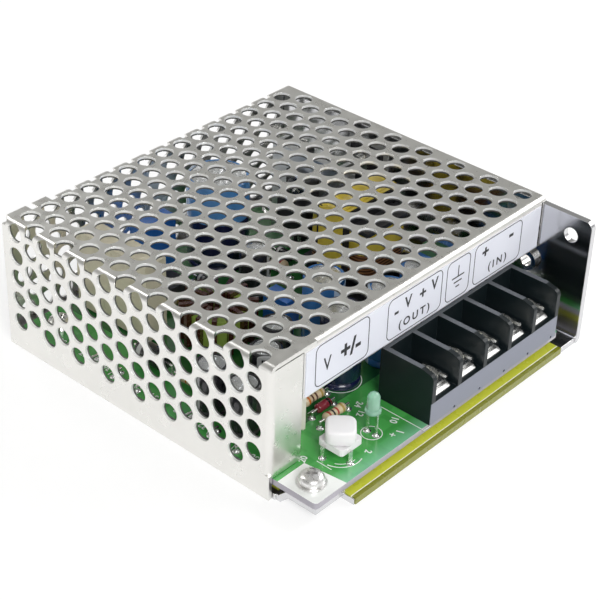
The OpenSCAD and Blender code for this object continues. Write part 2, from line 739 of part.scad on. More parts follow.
filter_at = spot(0.8816, 0.3298);
filter_d = 15 * grow;
filter_t = 6 * grow;
module filter_core() {
    color("darkgreen") from_corner() on_board(filter_at) translate([0, 0, filter_d / 2 + 1.6])
        rotate([90, 0, 0]) translate([0, 0, -filter_t / 2]) difference() {
            cylinder(h = filter_t, d = filter_d - 2.6);
            translate([0, 0, -1]) cylinder(h = filter_t + 2, d = filter_d * 0.46);
        }
}
module filter_winding() {
    turns = 5;
    wire = 0.7;
    out = filter_d / 2;
    in = filter_d * 0.23 - 1.2;
    color("peru") from_corner() on_board(filter_at) translate([0, 0, filter_d / 2 + 1.6])
        rotate([90, 0, 0]) for (side = [0, 180], a = [0:turns - 1])
            rotate([0, 0, side - 50 + a * 25]) translate([in, -wire / 2, -filter_t / 2 - 1.2])
                difference() {
                    cube([out - in, wire, filter_t + 2.4]);
                    translate([1.15, -1, 1.15]) cube([out - in - 2.4, 4, filter_t + 0.1]);
                }
    color("peru") from_corner() on_board(filter_at) for (x = [-1, 1], y = [-1, 1])
        translate([x * filter_d * 0.293 - 0.4, y * (filter_t / 2 + 0.7) - 0.4, 0]) cube([0.8, 0.8, 4.6]);
}

// ---------- capacitors ----------

// Electrolytic capacitor with a rolled groove, a sleeve rim and a scored vent on top
module can(d, h) {
    difference() {
        union() {
            cylinder(h = 1.2, d = d);
            translate([0, 0, 1.1]) cylinder(h = 1.1, d = d - 0.9);
            translate([0, 0, 2.1]) cylinder(h = h - 2.6, d = d);
            translate([0, 0, h - 0.5 - slack]) cylinder(h = 0.5 + slack, d1 = d, d2 = d - 1);
        }
        translate([0, 0, h - 0.3]) cylinder(h = 1, d = d - 2.2);
        for (a = [0, 90]) rotate([0, 0, a + 20]) translate([-d * 0.3, -0.15, h - 0.5]) cube([d * 0.6, 0.3, 1]);
    }
}
output_at = [spot(0.4138, 0.2702), spot(0.5716, 0.2489),
             spot(0.7069, 0.2489), spot(0.4983, 0.3979)];
reservoir_at = spot(0.6167, 0.8713);
small_at = [spot(0.0891, 0.3021), spot(0.0924, 0.4085), spot(0.2334, 0.3606),
            spot(0.5547, 0.6798), spot(0.3348, 0.4138)];
small_cap_d = 8 * grow;
small_cap_h = 13 * grow;
module reservoir_capacitor() {
    color([0.12, 0.12, 0.13]) from_corner() on_board(reservoir_at) can(reservoir_d * fit, tall_h - 0.5);
}
module output_capacitor(i) {
    color(i == 1 ? "midnightblue" : "steelblue") from_corner()
        on_board(output_at[i - 1]) can(output_cap_d * fit, output_cap_h);
}
module small_capacitors() {
    color([0.15, 0.15, 0.17]) from_corner() for (p = small_at) on_board(p) can(small_cap_d, small_cap_h);
}

// Box-shaped film capacitor standing on four small feet
module film_box(size) {
    foot = 0.5;
    difference() {
        translate([-size[0] / 2, -size[1] / 2, 0]) cube(size);
        translate([-size[0] / 2 + 0.8, -size[1], -1]) cube([size[0] - 1.6, 2 * size[1], 1 + foot]);
        translate([-size[0], -size[1] / 2 + 0.8, -1]) cube([2 * size[0], size[1] - 1.6, 1 + foot]);
    }
}
module film_capacitor() {
    color([0.9, 0.87, 0.78]) from_corner() on_board(spot(0.2108, 0.8394)) film_box([6.5, 24, 21.5] * grow);
}
module blue_film_capacitors() {
    color("royalblue") from_corner() {
        on_board(spot(0.4419, 0.9511)) film_box([11, 5, 15] * grow);
        on_board(spot(0.4904, 0.5309)) film_box([4.5, 7.5, 9] * grow);
    }
}
// Round ceramic disc on edge, with its two wires
module disc_capacitors() {
    disc_d = 9 * grow;
    disc_t = disc_d / 3;
    color("dodgerblue") from_corner() for (u = [0.8129, 0.8636]) on_board(spot(u, 0.2202)) {
        translate([-disc_t / 2, 0, disc_d / 2 + 1.2]) rotate([0, 90, 0]) cylinder(h = disc_t, d = disc_d);
        for (s = [-1, 1]) translate([-0.3, s * disc_d * 0.28 - 0.3, 0]) cube([0.6, 0.6, 3]);
    }
}

// ---------- power semiconductors ----------

sink_x = spot(0.8602, 0)[0];
sink_l = 22 * grow;
sink_y = [spot(0, 0.6521)[1], spot(0, 0.6521)[1] + sink_l];
sink_t = 2;
module heatsink() {
    fin = 5;
    color("silver") from_corner() translate([sink_x, sink_y[0], board_top]) difference() {
        union() {
            cube([sink_t, sink_l, tall_h]);
            for (k = [0:3]) translate([sink_t - slack, k * (sink_l - 1.2) / 3, 3])
                cube([fin, 1.2, tall_h - 3]);
        }
        translate([-1, sink_l / 2, 17]) rotate([0, 90, 0]) cylinder(h = 9, r = tap_r);
    }
}

// Plastic power package: tab, body and three legs. The tab's back is at x = 0, the
// body is on the -X side, and the legs reach down to z = 0
module power_package(leg_drop, leg_back) {
    color("silver") difference() {
        translate([-1.3, -5, leg_drop]) cube([1.3, 10, 15.6]);
        translate([-3, 0, leg_drop + 12.8]) rotate([0, 90, 0]) cylinder(h = 4, r = clear_r);
    }
    color([0.12, 0.12, 0.13]) translate([-4.5, -5, leg_drop]) cube([3.2, 10, 9]);
    for (y = [-2.54, 0, 2.54]) translate([0, y - 0.4, 0]) {
        translate([-2.9 - leg_back, 0, 0]) cube([0.5, 0.8, leg_drop - 1]);
        translate([-2.9 - leg_back, 0, leg_drop - 1.5]) cube([leg_back + 0.5, 0.8, 0.5]);
        translate([-2.9, 0, leg_drop - 1.5]) cube([0.5, 0.8, 1.5 + slack]);
    }
}
transistor_drop = 4.2;
module power_transistor() {
    from_corner() translate([sink_x, (sink_y[0] + sink_y[1]) / 2, board_top])
        power_package(transistor_drop, 0);
}
module transistor_screw() {
    color("silver") from_corner()
        translate([sink_x - 1.3, (sink_y[0] + sink_y[1]) / 2, board_top + 17]) rotate([0, 90, 0])
            mirror([0, 0, 1]) rotate([0, 0, 30]) pan_screw_plain(4.5);
}
module pan_screw_plain(shank) {
    difference() {
        union() {
            translate([0, 0, -shank]) cylinder(h = shank + slack, d = thread_d);
            cylinder(h = pan_h, d = pan_d);
        }
        translate([0, 0, pan_h * 0.5]) cross_recess(pan_d * 0.55);
    }
}

pad_t = 0.3;
rectifier_y = spot(0, 0.7011)[1];
rectifier_drop = body_h - board_top - 21.6;
rectifier_hole_z = board_top + rectifier_drop + 12.8;
module rectifier() {
    from_corner() translate([wall_x - pad_t, rectifier_y, board_top])
        power_package(rectifier_drop, wall_x - pad_t - 2.9 - board_right + 1.6);
}
module rectifier_pad() {
    color("lightgray") from_corner() difference() {
        translate([wall_x - pad_t, rectifier_y - 6.5, board_top + rectifier_drop - 1])
            cube([pad_t, 13, 18.4]);
        translate([wall_x - 1, rectifier_y, rectifier_hole_z]) rotate([0, 90, 0]) cylinder(h = 2, r = clear_r);
    }
}
module rectifier_screw() {
    nut_x = wall_x - pad_t - 1.3;
    color("silver") from_corner() {
        translate([body_w, rectifier_y, rectifier_hole_z]) flush_screw(6.5);
        translate([nut_x - 2.4, rectifier_y, rectifier_hole_z]) rotate([0, 90, 0]) difference() {
            cylinder(h = 2.4, d = 6.2, $fn = 6);
            translate([0, 0, -1]) cylinder(h = 5, r = tap_r);
        }
    }
}

// ---------- fuse ----------

fuse_at = spot(0.9651, 0.5309);
fuse_z = board_top + 3.4;
fuse_l = 20 * grow;
fuse_d = 4.8 * grow;
fuse_cap_l = fuse_l / 4;
module along_fuse() {
    translate([fuse_at[0], fuse_at[1], fuse_z]) rotate([-90, 0, 0]) children();
}
module fuse_glass() {
    color("lightcyan") from_corner() along_fuse()
        translate([0, 0, -fuse_l / 2 + fuse_cap_l]) cylinder(h = fuse_l - 2 * fuse_cap_l, d = fuse_d);
}
module fuse_caps() {
    color("silver") from_corner() along_fuse() for (s = [0, 1]) mirror([0, 0, s])
        translate([0, 0, fuse_l / 2 - fuse_cap_l]) cylinder(h = fuse_cap_l, d = fuse_d + 0.4);
}
module fuse_clips() {
    clip_l = fuse_cap_l * 0.68;
    clip_w = fuse_d + 1.2;
    color("silver") from_corner() for (s = [-1, 1])
        translate([fuse_at[0], fuse_at[1] + s * (fuse_l - fuse_cap_l) / 2, 0]) difference() {
            translate([-clip_w / 2, -clip_l / 2, board_top]) cube([clip_w, clip_l, fuse_z - board_top + 1.2]);
            translate([0, clip_l, fuse_z]) rotate([90, 0, 0]) cylinder(h = 2 * clip_l, d = fuse_d + 0.5);
            translate([0.7 - clip_w / 2, -clip_l, fuse_z]) cube([clip_w - 1.4, 2 * clip_l, 6]);
        }
}

// ---------- small parts ----------

module dual_package(w, l, h) {
    translate([-w / 2, -l / 2, 0.6]) cube([w, l, h]);
}
chip_at = spot(0.3912, 0.8521);
opto_at = spot(0.3236, 0.9564);
module optocoupler() {
    color([0.92, 0.92, 0.9]) from_corner() on_board(opto_at) dual_package(6.4, 4.6 * fit, 3.4);
}
module control_chip() {
    color([0.12, 0.12, 0.13]) from_corner() on_board(chip_at) dual_package(6.4, 9.4 * fit, 3.4);
}
module chip_legs() {
    color("silver") from_corner() {
        for (s = [-1, 1], y = [-3.81:2.54:3.82]) on_board([chip_at[0] + s * 3.5, chip_at[1] + y])
            translate([-0.3, -0.4, 0]) cube([0.6, 0.8, 2.4]);
        for (s = [-1, 1], y = [-1.27, 1.27]) on_board([opto_at[0] + s * 3.5, opto_at[1] + y])
            translate([-0.3, -0.4, 0]) cube([0.6, 0.8, 2.4]);
    }
}

// Axial parts: place, angle, body length and body diameter
function axial(u, v, turn, len, d) = concat(spot(u, v), [turn, len * grow, d * grow]);
resistor_at = [axial(0.2897, 0.2521, 0, 6.4, 2.4),
               axial(0.2796, 0.1755, 0, 6.4, 2.4),
               axial(0.3303, 0.7862, 0, 6.4, 2.4),
               axial(0.6336, 0.3819, 0, 6.4, 2.4),
               axial(0.6843, 0.7277, 90, 9, 3.4),
               axial(0.1206, 0.5096, 90, 6.4, 2.4)];
diode_at = [axial(0.283, 0.2138, 0, 4.2, 2.2),
            axial(0.4814, 0.7915, 90, 5, 2.7),
            axial(0.7407, 0.733, 90, 5, 2.7),
            axial(0.1206, 0.6372, 90, 9, 5)];
axial_gap = 0.5;
function bend_reach(p) = p[3] / 2 + 1.6;
module axial_frame(p) {
    on_board(p) rotate([0, 0, p[2]]) translate([0, 0, p[4] / 2 + axial_gap]) children();
}
module resistors() {
    color("tan") from_corner() for (p = resistor_at) axial_frame(p) rotate([0, 90, 0])
        translate([0, 0, -p[3] / 2]) {
            translate([0, 0, p[3] * 0.15]) cylinder(h = p[3] * 0.7, d = p[4] * 0.86);
            cylinder(h = p[3] * 0.25, d = p[4]);
            translate([0, 0, p[3] * 0.75]) cylinder(h = p[3] * 0.25, d = p[4]);
        }
}
module diodes() {
    color("firebrick") from_corner() for (p = diode_at) axial_frame(p) rotate([0, 90, 0])
        translate([0, 0, -p[3] / 2]) cylinder(h = p[3], d = p[4]);
}
module cement_resistor() {
    color([0.9, 0.88, 0.82]) from_corner() on_board(spot(0.1691, 0.233)) film_box([5, 6.5, 13] * grow);
}
module component_wires() {
    color("silver") from_corner() for (p = concat(resistor_at, diode_at)) axial_frame(p) for (s = [-1, 1]) {
        translate([s > 0 ? p[3] / 2 : -bend_reach(p), 0, 0]) rotate([0, 90, 0])
            cylinder(h = bend_reach(p) - p[3] / 2, d = wire_d);
        translate([s * bend_reach(p), 0, 0]) {
            sphere(d = wire_d);
            translate([0, 0, -p[4] / 2 - axial_gap]) cylinder(h = p[4] / 2 + axial_gap, d = wire_d);
        }
    }
}

chassis();
cover();
front_label();
insulating_sheet();
circuit_board();
corner_screw();
board_screws();
cover_screws();
side_inserts();
terminal_block();
terminal_contacts();
for (i = [1:ways]) {
    terminal_clamp(i);
    terminal_screw(i);
}
trimmer_base();
trimmer_legs();
trimmer_knob();
lamp_lens();
lamp_leads();
transformer_core();
transformer_bobbin();
transformer_winding();
reservoir_capacitor();
for (i = [1:4]) output_capacitor(i);
small_capacitors();
film_capacitor();
blue_film_capacitors();
disc_capacitors();
choke_core();
choke_winding();
filter_core();
filter_winding();
heatsink();
power_transistor();
transistor_screw();
rectifier();
rectifier_pad();
rectifier_screw();
fuse_glass();
fuse_caps();
fuse_clips();
optocoupler();
control_chip();
chip_legs();
resistors();
diodes();
cement_resistor();
component_wires();
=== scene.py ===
# %% [markdown]
# # A mesh case switching power supply
# The real unit is a folded metal tray with a perforated cover over it. At the
# front the cover stops short, so a strip of circuit board lies open: there are the
# terminal block for the wires, a trimmer that sets the voltage and a small lamp.
# The rigid parts come in ready from the frame. This lesson sets the camera and the
# light, gives each part the finish of its real material, and adds the fine
# pieces that are easier to shape here: printing, solder, screws and components.

# %% Load the frame
import math
import bpy
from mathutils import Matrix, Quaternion, Vector


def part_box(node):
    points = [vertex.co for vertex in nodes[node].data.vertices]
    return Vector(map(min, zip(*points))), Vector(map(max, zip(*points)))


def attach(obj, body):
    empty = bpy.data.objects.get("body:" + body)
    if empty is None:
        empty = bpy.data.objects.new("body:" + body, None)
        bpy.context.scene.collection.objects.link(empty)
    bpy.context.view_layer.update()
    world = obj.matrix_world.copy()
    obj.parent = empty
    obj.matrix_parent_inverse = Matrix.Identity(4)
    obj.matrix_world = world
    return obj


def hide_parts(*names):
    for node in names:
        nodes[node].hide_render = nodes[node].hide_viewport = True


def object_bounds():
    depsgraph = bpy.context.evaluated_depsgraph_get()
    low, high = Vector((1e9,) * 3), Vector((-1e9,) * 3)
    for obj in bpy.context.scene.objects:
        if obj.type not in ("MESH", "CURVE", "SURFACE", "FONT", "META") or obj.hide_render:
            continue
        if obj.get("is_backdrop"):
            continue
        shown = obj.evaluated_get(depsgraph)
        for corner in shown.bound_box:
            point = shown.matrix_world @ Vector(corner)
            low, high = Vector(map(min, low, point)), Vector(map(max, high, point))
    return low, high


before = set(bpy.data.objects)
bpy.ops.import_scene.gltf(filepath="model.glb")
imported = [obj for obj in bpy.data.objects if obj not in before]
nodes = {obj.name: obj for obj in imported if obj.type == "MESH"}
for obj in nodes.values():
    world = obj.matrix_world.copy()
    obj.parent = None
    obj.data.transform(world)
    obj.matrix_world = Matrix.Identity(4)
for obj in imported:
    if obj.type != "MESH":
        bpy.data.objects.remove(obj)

case_low, case_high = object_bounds()
MM = 0.001


def at(x, y, z=0.0):
    """A place in millimetres from the case's front left corner, on the ground."""
    return Vector((case_low.x + x * MM, case_low.y + y * MM, case_low.z + z * MM))


def place_of(node):
    """A CAD node's lowest and highest corner, in the same millimetres as at()."""
    return [(corner - case_low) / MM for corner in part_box(node)]


board_top = place_of("circuit_board")[1].z
print("parts in the frame:", len(nodes), " board top at", round(board_top, 2), "mm")

# %% [markdown]
# A long lens keeps the case's edges nearly parallel, as in a catalogue picture.
# A camera can be aimed with a Track To constraint, but then its roll is lost, so
# the direction is worked out from an azimuth and an elevation and the small roll
# is added as a last turn about the camera's own axis.

# %% Camera
azimuth, elevation, roll = (math.radians(v) for v in (-49.166, 33.803, 1.984))
camera_data = bpy.data.cameras.new("catalogue_camera")
camera_data.sensor_width = 36
camera_data.lens = 99.28
camera = bpy.data.objects.new("catalogue_camera", camera_data)
bpy.context.scene.collection.objects.link(camera)
camera.location = (-0.24953, -0.21590, 0.23296)
back = Vector((math.sin(azimuth) * math.cos(elevation),
               -math.cos(azimuth) * math.cos(elevation), math.sin(elevation)))
camera.rotation_mode = "QUATERNION"
camera.rotation_quaternion = (-back).to_track_quat("-Z", "Y") @ Quaternion((0, 0, 1), roll)
bpy.context.scene.camera = camera
bpy.context.scene.view_settings.view_transform = "Standard"
print("camera is", round((camera.location - (case_low + case_high) / 2).length, 3), "m away")

# %% [markdown]
# The case stands on a white table. Bare metal shows what stands round it more
# than its own colour, so the table is white for reflections too, and the sky
# over it is a dim grey that the mesh top can mirror. Only the camera sees a
# pure white sky. A Light Path node tells these rays apart. From below, the table
# is clear, so the bottom of the case can be looked at.

# %% Table and sky
bpy.ops.mesh.primitive_plane_add(size=4, location=(0, 0, case_low.z - 0.00002))
table = bpy.context.object
table.name = "table_top"
table_white = bpy.data.materials.new("table_white")
table_white.use_nodes = True
tree = table_white.node_tree
tree.nodes.clear()
out = tree.nodes.new("ShaderNodeOutputMaterial")
path = tree.nodes.new("ShaderNodeLightPath")
cloth = tree.nodes.new("ShaderNodeBsdfDiffuse")
cloth.inputs["Color"].default_value = (0.8, 0.8, 0.8, 1)
seen = tree.nodes.new("ShaderNodeAddShader")
seen_cloth = tree.nodes.new("ShaderNodeBsdfDiffuse")
seen_cloth.inputs["Color"].default_value = (0.42, 0.42, 0.42, 1)
lift = tree.nodes.new("ShaderNodeEmission")
lift.inputs["Color"].default_value = (1, 1, 1, 1)
lift.inputs["Strength"].default_value = 0.62
rays = tree.nodes.new("ShaderNodeMath"); rays.operation = "MAXIMUM"
rays_too = tree.nodes.new("ShaderNodeMath"); rays_too.operation = "MAXIMUM"
choose = tree.nodes.new("ShaderNodeMixShader")
link = tree.links.new
link(path.outputs["Is Camera Ray"], rays.inputs[0])
link(path.outputs["Is Glossy Ray"], rays.inputs[1])
link(rays.outputs[0], rays_too.inputs[0])
link(path.outputs["Is Transmission Ray"], rays_too.inputs[1])
link(seen_cloth.outputs[0], seen.inputs[0])
link(lift.outputs[0], seen.inputs[1])
link(rays_too.outputs[0], choose.inputs[0])
link(cloth.outputs[0], choose.inputs[1])
link(seen.outputs[0], choose.inputs[2])
under = tree.nodes.new("ShaderNodeNewGeometry")
clear = tree.nodes.new("ShaderNodeBsdfTransparent")
sided = tree.nodes.new("ShaderNodeMixShader")
link(under.outputs["Backfacing"], sided.inputs[0])
link(choose.outputs[0], sided.inputs[1])
link(clear.outputs[0], sided.inputs[2])
link(sided.outputs[0], out.inputs["Surface"])
table.data.materials.append(table_white)
table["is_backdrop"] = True

world = bpy.data.worlds.new("studio")
bpy.context.scene.world = world
world.use_nodes = True
tree = world.node_tree
tree.nodes.clear()
out = tree.nodes.new("ShaderNodeOutputWorld")
path = tree.nodes.new("ShaderNodeLightPath")
room = tree.nodes.new("ShaderNodeBackground")
room.inputs["Strength"].default_value = 0.5
white = tree.nodes.new("ShaderNodeBackground")
white.inputs["Color"].default_value = (1, 1, 1, 1)
white.inputs["Strength"].default_value = 1.0
height = tree.nodes.new("ShaderNodeTexCoord")
split = tree.nodes.new("ShaderNodeSeparateXYZ")
shade = tree.nodes.new("ShaderNodeValToRGB")
shade.color_ramp.elements[0].position = 0.0
shade.color_ramp.elements[0].color = (1.5, 1.5, 1.52, 1)
shade.color_ramp.elements[1].position = 0.4
shade.color_ramp.elements[1].color = (0.67, 0.67, 0.645, 1)
choose = tree.nodes.new("ShaderNodeMixShader")
link = tree.links.new
link(height.outputs["Generated"], split.inputs[0])
link(split.outputs["Z"], shade.inputs["Fac"])
link(shade.outputs["Color"], room.inputs["Color"])
link(path.outputs["Is Camera Ray"], choose.inputs[0])
link(room.outputs[0], choose.inputs[1])
link(white.outputs[0], choose.inputs[2])
link(choose.outputs[0], out.inputs["Surface"])
print("table and sky are in place")

# %% [markdown]
# Soft boxes give the shading. A wide one in front and to the left lights the
# open bay, a weaker one from the right keeps the far side from going dull, and
# one behind draws a bright edge on the folds.

# %% Lamps
def soft_box(name, where, size, power):
    """An area lamp aimed at the middle of the case."""
    data = bpy.data.lights.new(name, "AREA")
    data.shape = "DISK"
    data.size = size
    data.energy = power
    lamp = bpy.data.objects.new(name, data)
    bpy.context.scene.collection.objects.link(lamp)
    lamp.location = where
    lamp.rotation_mode = "QUATERNION"
    lamp.rotation_quaternion = (Vector((0, 0, 0.02)) - lamp.location).to_track_quat("-Z", "Y")
    return lamp


soft_box("front_box", (-0.55, -0.95, 0.85), 0.7, 12)
soft_box("right_box", (0.9, -0.25, 0.6), 0.5, 4)
soft_box("way_box", (0.76, -0.67, 0.65), 0.5, 1.0)
soft_box("back_box", (0.1, 1.0, 0.9), 0.6, 4)
print("lamps:", len(bpy.data.lights))

# %% [markdown]
# Every finish is built from the same few steps, so each step is a small
# function: a colour that drifts a little from place to place, a roughness that
# does the same, and a fine grain that tilts the surface. All of them read Object
# coordinates, so the pattern keeps its real size and stays on its part.

# %% Steps of a finish
class Finish:
    """A Principled material that is built up step by step."""

    def __init__(self, name, rough=0.4, metal=0.0):
        self.material = bpy.data.materials.new(name)
        self.material.use_nodes = True
        self.tree = self.material.node_tree
        self.shader = self.tree.nodes["Principled BSDF"]
        self.set(Roughness=rough, Metallic=metal)
        self.place = self.node("ShaderNodeTexCoord").outputs["Object"]

    def set(self, **values):
        for name, value in values.items():
            self.shader.inputs[name.replace("_", " ")].default_value = value
        return self

    def node(self, kind, **settings):
        made = self.tree.nodes.new(kind)
        for name, value in settings.items():
            setattr(made, name, value)
        return made

    def join(self, source, target):
        self.tree.links.new(source, target)

    def noise(self, size, detail=3.0, stretch=(1, 1, 1), offset=0.0):
        """Noise whose patches are about size millimetres across."""
        scaled = self.node("ShaderNodeMapping")
        scaled.inputs["Scale"].default_value = [s / (size * MM) for s in stretch]
        scaled.inputs["Location"].default_value = (offset, offset, offset)
        self.join(self.place, scaled.inputs["Vector"])
        made = self.node("ShaderNodeTexNoise")
        made.inputs["Scale"].default_value = 1.0
        made.inputs["Detail"].default_value = detail
        self.join(scaled.outputs[0], made.inputs["Vector"])
        return made.outputs[0]

    def math(self, operation, a, b=None):
        made = self.node("ShaderNodeMath", operation=operation)
        for socket, value in zip(made.inputs, (a, b)):
            if isinstance(value, (int, float)):
                socket.default_value = value
            elif value is not None:
                self.join(value, socket)
        return made.outputs[0]

    def axis(self, letter):
        """Position along one axis, in millimetres from the case's corner."""
        apart = self.node("ShaderNodeSeparateXYZ")
        self.join(self.place, apart.inputs[0])
        start = getattr(case_low, letter.lower())
        return self.math("DIVIDE", self.math("SUBTRACT", apart.outputs[letter], start), MM)

    def between(self, value, low, high):
        return self.math("MULTIPLY", self.math("GREATER_THAN", value, low),
                         self.math("LESS_THAN", value, high))

    def mix(self, amount, a, b):
        made = self.node("ShaderNodeMix", data_type="RGBA")
        for socket, value in ((made.inputs[0], amount), (made.inputs[6], a), (made.inputs[7], b)):
            if isinstance(value, (int, float)):
                socket.default_value = value
            elif isinstance(value, tuple):
                socket.default_value = (*value, 1)
            else:
                self.join(value, socket)
        return made.outputs[2]

    def mottled(self, colour, spread=0.08, size=8.0):
        """The colour, a little darker in some patches and lighter in others."""
        darker = tuple(c * (1 - spread) for c in colour)
        lighter = tuple(min(1.0, c * (1 + spread)) for c in colour)
        return self.mix(self.noise(size), darker, lighter)

    def paint(self, source):
        self.join(source, self.shader.inputs["Base Color"])
        return self

    def uneven(self, low, high, size=5.0, stretch=(1, 1, 1)):
        """Roughness that wanders between two values."""
        spread = self.node("ShaderNodeMapRange")
        spread.inputs["From Min"].default_value = 0.3
        spread.inputs["From Max"].default_value = 0.7
        spread.inputs["To Min"].default_value = low
        spread.inputs["To Max"].default_value = high
        self.join(self.noise(size, 4.0, stretch, 3.7), spread.inputs["Value"])
        self.join(spread.outputs[0], self.shader.inputs["Roughness"])
        return self

    def grain(self, size=0.4, height=0.01, stretch=(1, 1, 1), strength=0.4, edge=0.0):
        """A fine relief, and if edge is given, edges rounded by that much; both in millimetres."""
        relief = self.node("ShaderNodeBump")
        if edge:
            soft = self.node("ShaderNodeBevel", samples=6)
            soft.inputs["Radius"].default_value = edge * MM
            self.join(soft.outputs[0], relief.inputs["Normal"])
        relief.inputs["Strength"].default_value = strength
        relief.inputs["Distance"].default_value = height * MM
        self.join(self.noise(size, 3.0, stretch, 9.1), relief.inputs["Height"])
        self.join(relief.outputs[0], self.shader.inputs["Normal"])
        return self


def simple_finish(name, colour, rough, metal=0.0, spread=0.08, patch=6.0, grain=0.35,
                  height=0.006, **more):
    """The common case: mottled colour, uneven roughness and a fine grain."""
    made = Finish(name, rough, metal)
    made.set(**more)
    made.paint(made.mottled(colour, spread, patch))
    made.uneven(rough * 0.8, rough * 1.25, patch * 0.7)
    made.grain(grain, height)
    return made.material


def dress(material, *names):
    """Puts one material on CAD nodes, through their material slots."""
    for name in names:
        slots = nodes[name].data.materials
        slots.clear()
        slots.append(material)


print("finish steps are ready")

# %% [markdown]
# The cover is thin sheet with a fine bright grain. It is bare metal, not paint: its
# top mirrors the dim room softly while the folded flange mirrors the white
# table. A medium roughness does that. The hole walls are painted: near white, with
# little metal, for the first half of the sheet, partly a burnished wall and partly a
# painted highlight, and near black below, partly a torn wall and partly painted shade
# inside the hole. The tray is smoother, almost a mirror, with
# faint rolling lines along its length.

# %% Sheet metal
cover_low, cover_high = place_of("cover")
cover_metal = Finish("cover_metal", 0.34, 1.0)
facing = cover_metal.node("ShaderNodeSeparateXYZ")
cover_metal.join(cover_metal.node("ShaderNodeNewGeometry").outputs["True Normal"],
    facing.inputs[0])
depths = {face: cover_metal.math("SUBTRACT", *pair) for face, pair in {
    "top": (cover_high.z, cover_metal.axis("Z")), "left": (cover_metal.axis("X"), cover_low.x),
    "rear": (cover_high.y, cover_metal.axis("Y")),
    "front": (cover_metal.axis("Y"), cover_low.y)}.items()}
near_faces = 0.0
for depth in depths.values():
    near_faces = cover_metal.math("ADD", cover_metal.math("LESS_THAN", depth, 1.7), near_faces)
off_folds = cover_metal.math("LESS_THAN", near_faces, 1.5)
cut_edge, lower_wall_shade = 0.0, 0.0
for face, letter in (("top", "Z"), ("left", "X"), ("rear", "Y")):
    across = cover_metal.math("LESS_THAN", cover_metal.math("ABSOLUTE", facing.outputs[letter]),
        0.5)
    wall = cover_metal.math("MULTIPLY", cover_metal.math("MULTIPLY", across, off_folds),
                            cover_metal.math("LESS_THAN", depths[face], 1.05))
    # The lower part of each hole wall is torn metal and is painted near black as shade inside the
    # hole.
    lower_wall = cover_metal.math("MULTIPLY", wall, cover_metal.math("GREATER_THAN", depths[face], 0.6))
    cut_edge, lower_wall_shade = cover_metal.math("MAXIMUM", wall, cut_edge), cover_metal.math("MAXIMUM", lower_wall,
        lower_wall_shade)
sheet = cover_metal.mottled((0.84, 0.83, 0.80), 0.05, 12.0)
# Hole walls: near white is partly burnished metal and partly painted highlight, near black is
# partly torn metal and partly painted shade.
wall_highlight_and_shade = cover_metal.mix(lower_wall_shade, (0.97, 0.97, 0.96), (0.13, 0.13, 0.125))
cover_metal.paint(cover_metal.mix(cut_edge, sheet, wall_highlight_and_shade))
cover_metal.join(cover_metal.math("SUBTRACT", 1.0, cover_metal.math("MULTIPLY", cut_edge, 0.75)),
                 cover_metal.shader.inputs["Metallic"])
cover_metal.uneven(0.24, 0.38, 3.0)
cover_metal.grain(0.25, 0.010, edge=0.15)
dress(cover_metal.material, "cover")

tray_metal = Finish("tray_metal", 0.16, 1.0)
tray_metal.paint(tray_metal.mottled((0.70, 0.70, 0.715), 0.05, 15.0))
tray_metal.uneven(0.1, 0.22, 2.0, (1, 0.06, 1))
tray_metal.grain(0.5, 0.006, (1, 0.04, 1), edge=0.3)
dress(tray_metal.material, "chassis")
dress(simple_finish("bright_plating", (0.86, 0.86, 0.85), 0.16, 1.0, grain=0.3), "side_inserts",
      "corner_screw", "board_screws", "cover_screws", "rectifier_screw", "transistor_screw")
print("sheet metal dressed")

# %% [markdown]
# The board is glass fibre under green lacquer. Copper under the lacquer makes
# broad lighter areas with darker gaps, so a cell pattern with a thin dark border
# is laid under the gloss. Away from the front, under the cover, the green is painted
# much darker as shade, and near the front edge it is painted paler as a reflection of
# the white table. The cut edge and the underside show the bare laminate,
# and the corner under the fixing screw is left bare and tinned.

# %% Circuit board
board = Finish("board_lacquer", 0.22)
board.set(Coat_Weight=0.5, Coat_Roughness=0.08)
cells = board.node("ShaderNodeTexVoronoi", distance="CHEBYCHEV", feature="F1")
cells.inputs["Scale"].default_value = 210
cells.inputs["Randomness"].default_value = 0.8
board.join(board.place, cells.inputs["Vector"])
rim = board.node("ShaderNodeMapRange")
rim.inputs["From Min"].default_value = 0.36
rim.inputs["From Max"].default_value = 0.44
board.join(cells.outputs["Distance"], rim.inputs["Value"])
copper = board.mottled((0.075, 0.40, 0.085), 0.12, 4.0)
lacquer = board.mix(rim.outputs[0], copper, (0.060, 0.35, 0.070))
board_x, board_y, board_z = (board.axis(a) for a in "XYZ")
# Painted shade: away from the front, under the cover, the green is painted much darker.
bare = board.math("MULTIPLY", board.math("GREATER_THAN", board_x, 14),
    board.math("GREATER_THAN", board_y, 22))
lacquer = board.mix(board.math("MULTIPLY", bare, 0.8), lacquer, (0.012, 0.085, 0.022))
# Painted reflection: near the front edge the green is painted paler, as the white table mirrored
# in the gloss.
painted_front_reflection = board.node("ShaderNodeMapRange")
painted_front_reflection.inputs["From Min"].default_value = 6.5
painted_front_reflection.inputs["From Max"].default_value = 2.0
painted_front_reflection.inputs["To Max"].default_value = 0.55
board.join(board_y, painted_front_reflection.inputs["Value"])
lacquer = board.mix(painted_front_reflection.outputs[0], lacquer, (0.30, 0.62, 0.47))
tinned = board.math("LESS_THAN", board.math("ADD", board_x, board.math("MULTIPLY", board_y, 0.12)),
    11.4)
tinned = board.math("MULTIPLY", tinned, board.math("LESS_THAN", board_y, 13.0))
lacquer = board.mix(tinned, lacquer, (0.86, 0.88, 0.86))
on_top = board.math("GREATER_THAN", board_z, board_top - 0.05)
surface = board.mix(on_top, board.mottled((0.38, 0.36, 0.41), 0.1, 1.5), lacquer)
board.paint(surface)
board.grain(0.8, 0.01)
dress(board.material, "circuit_board")

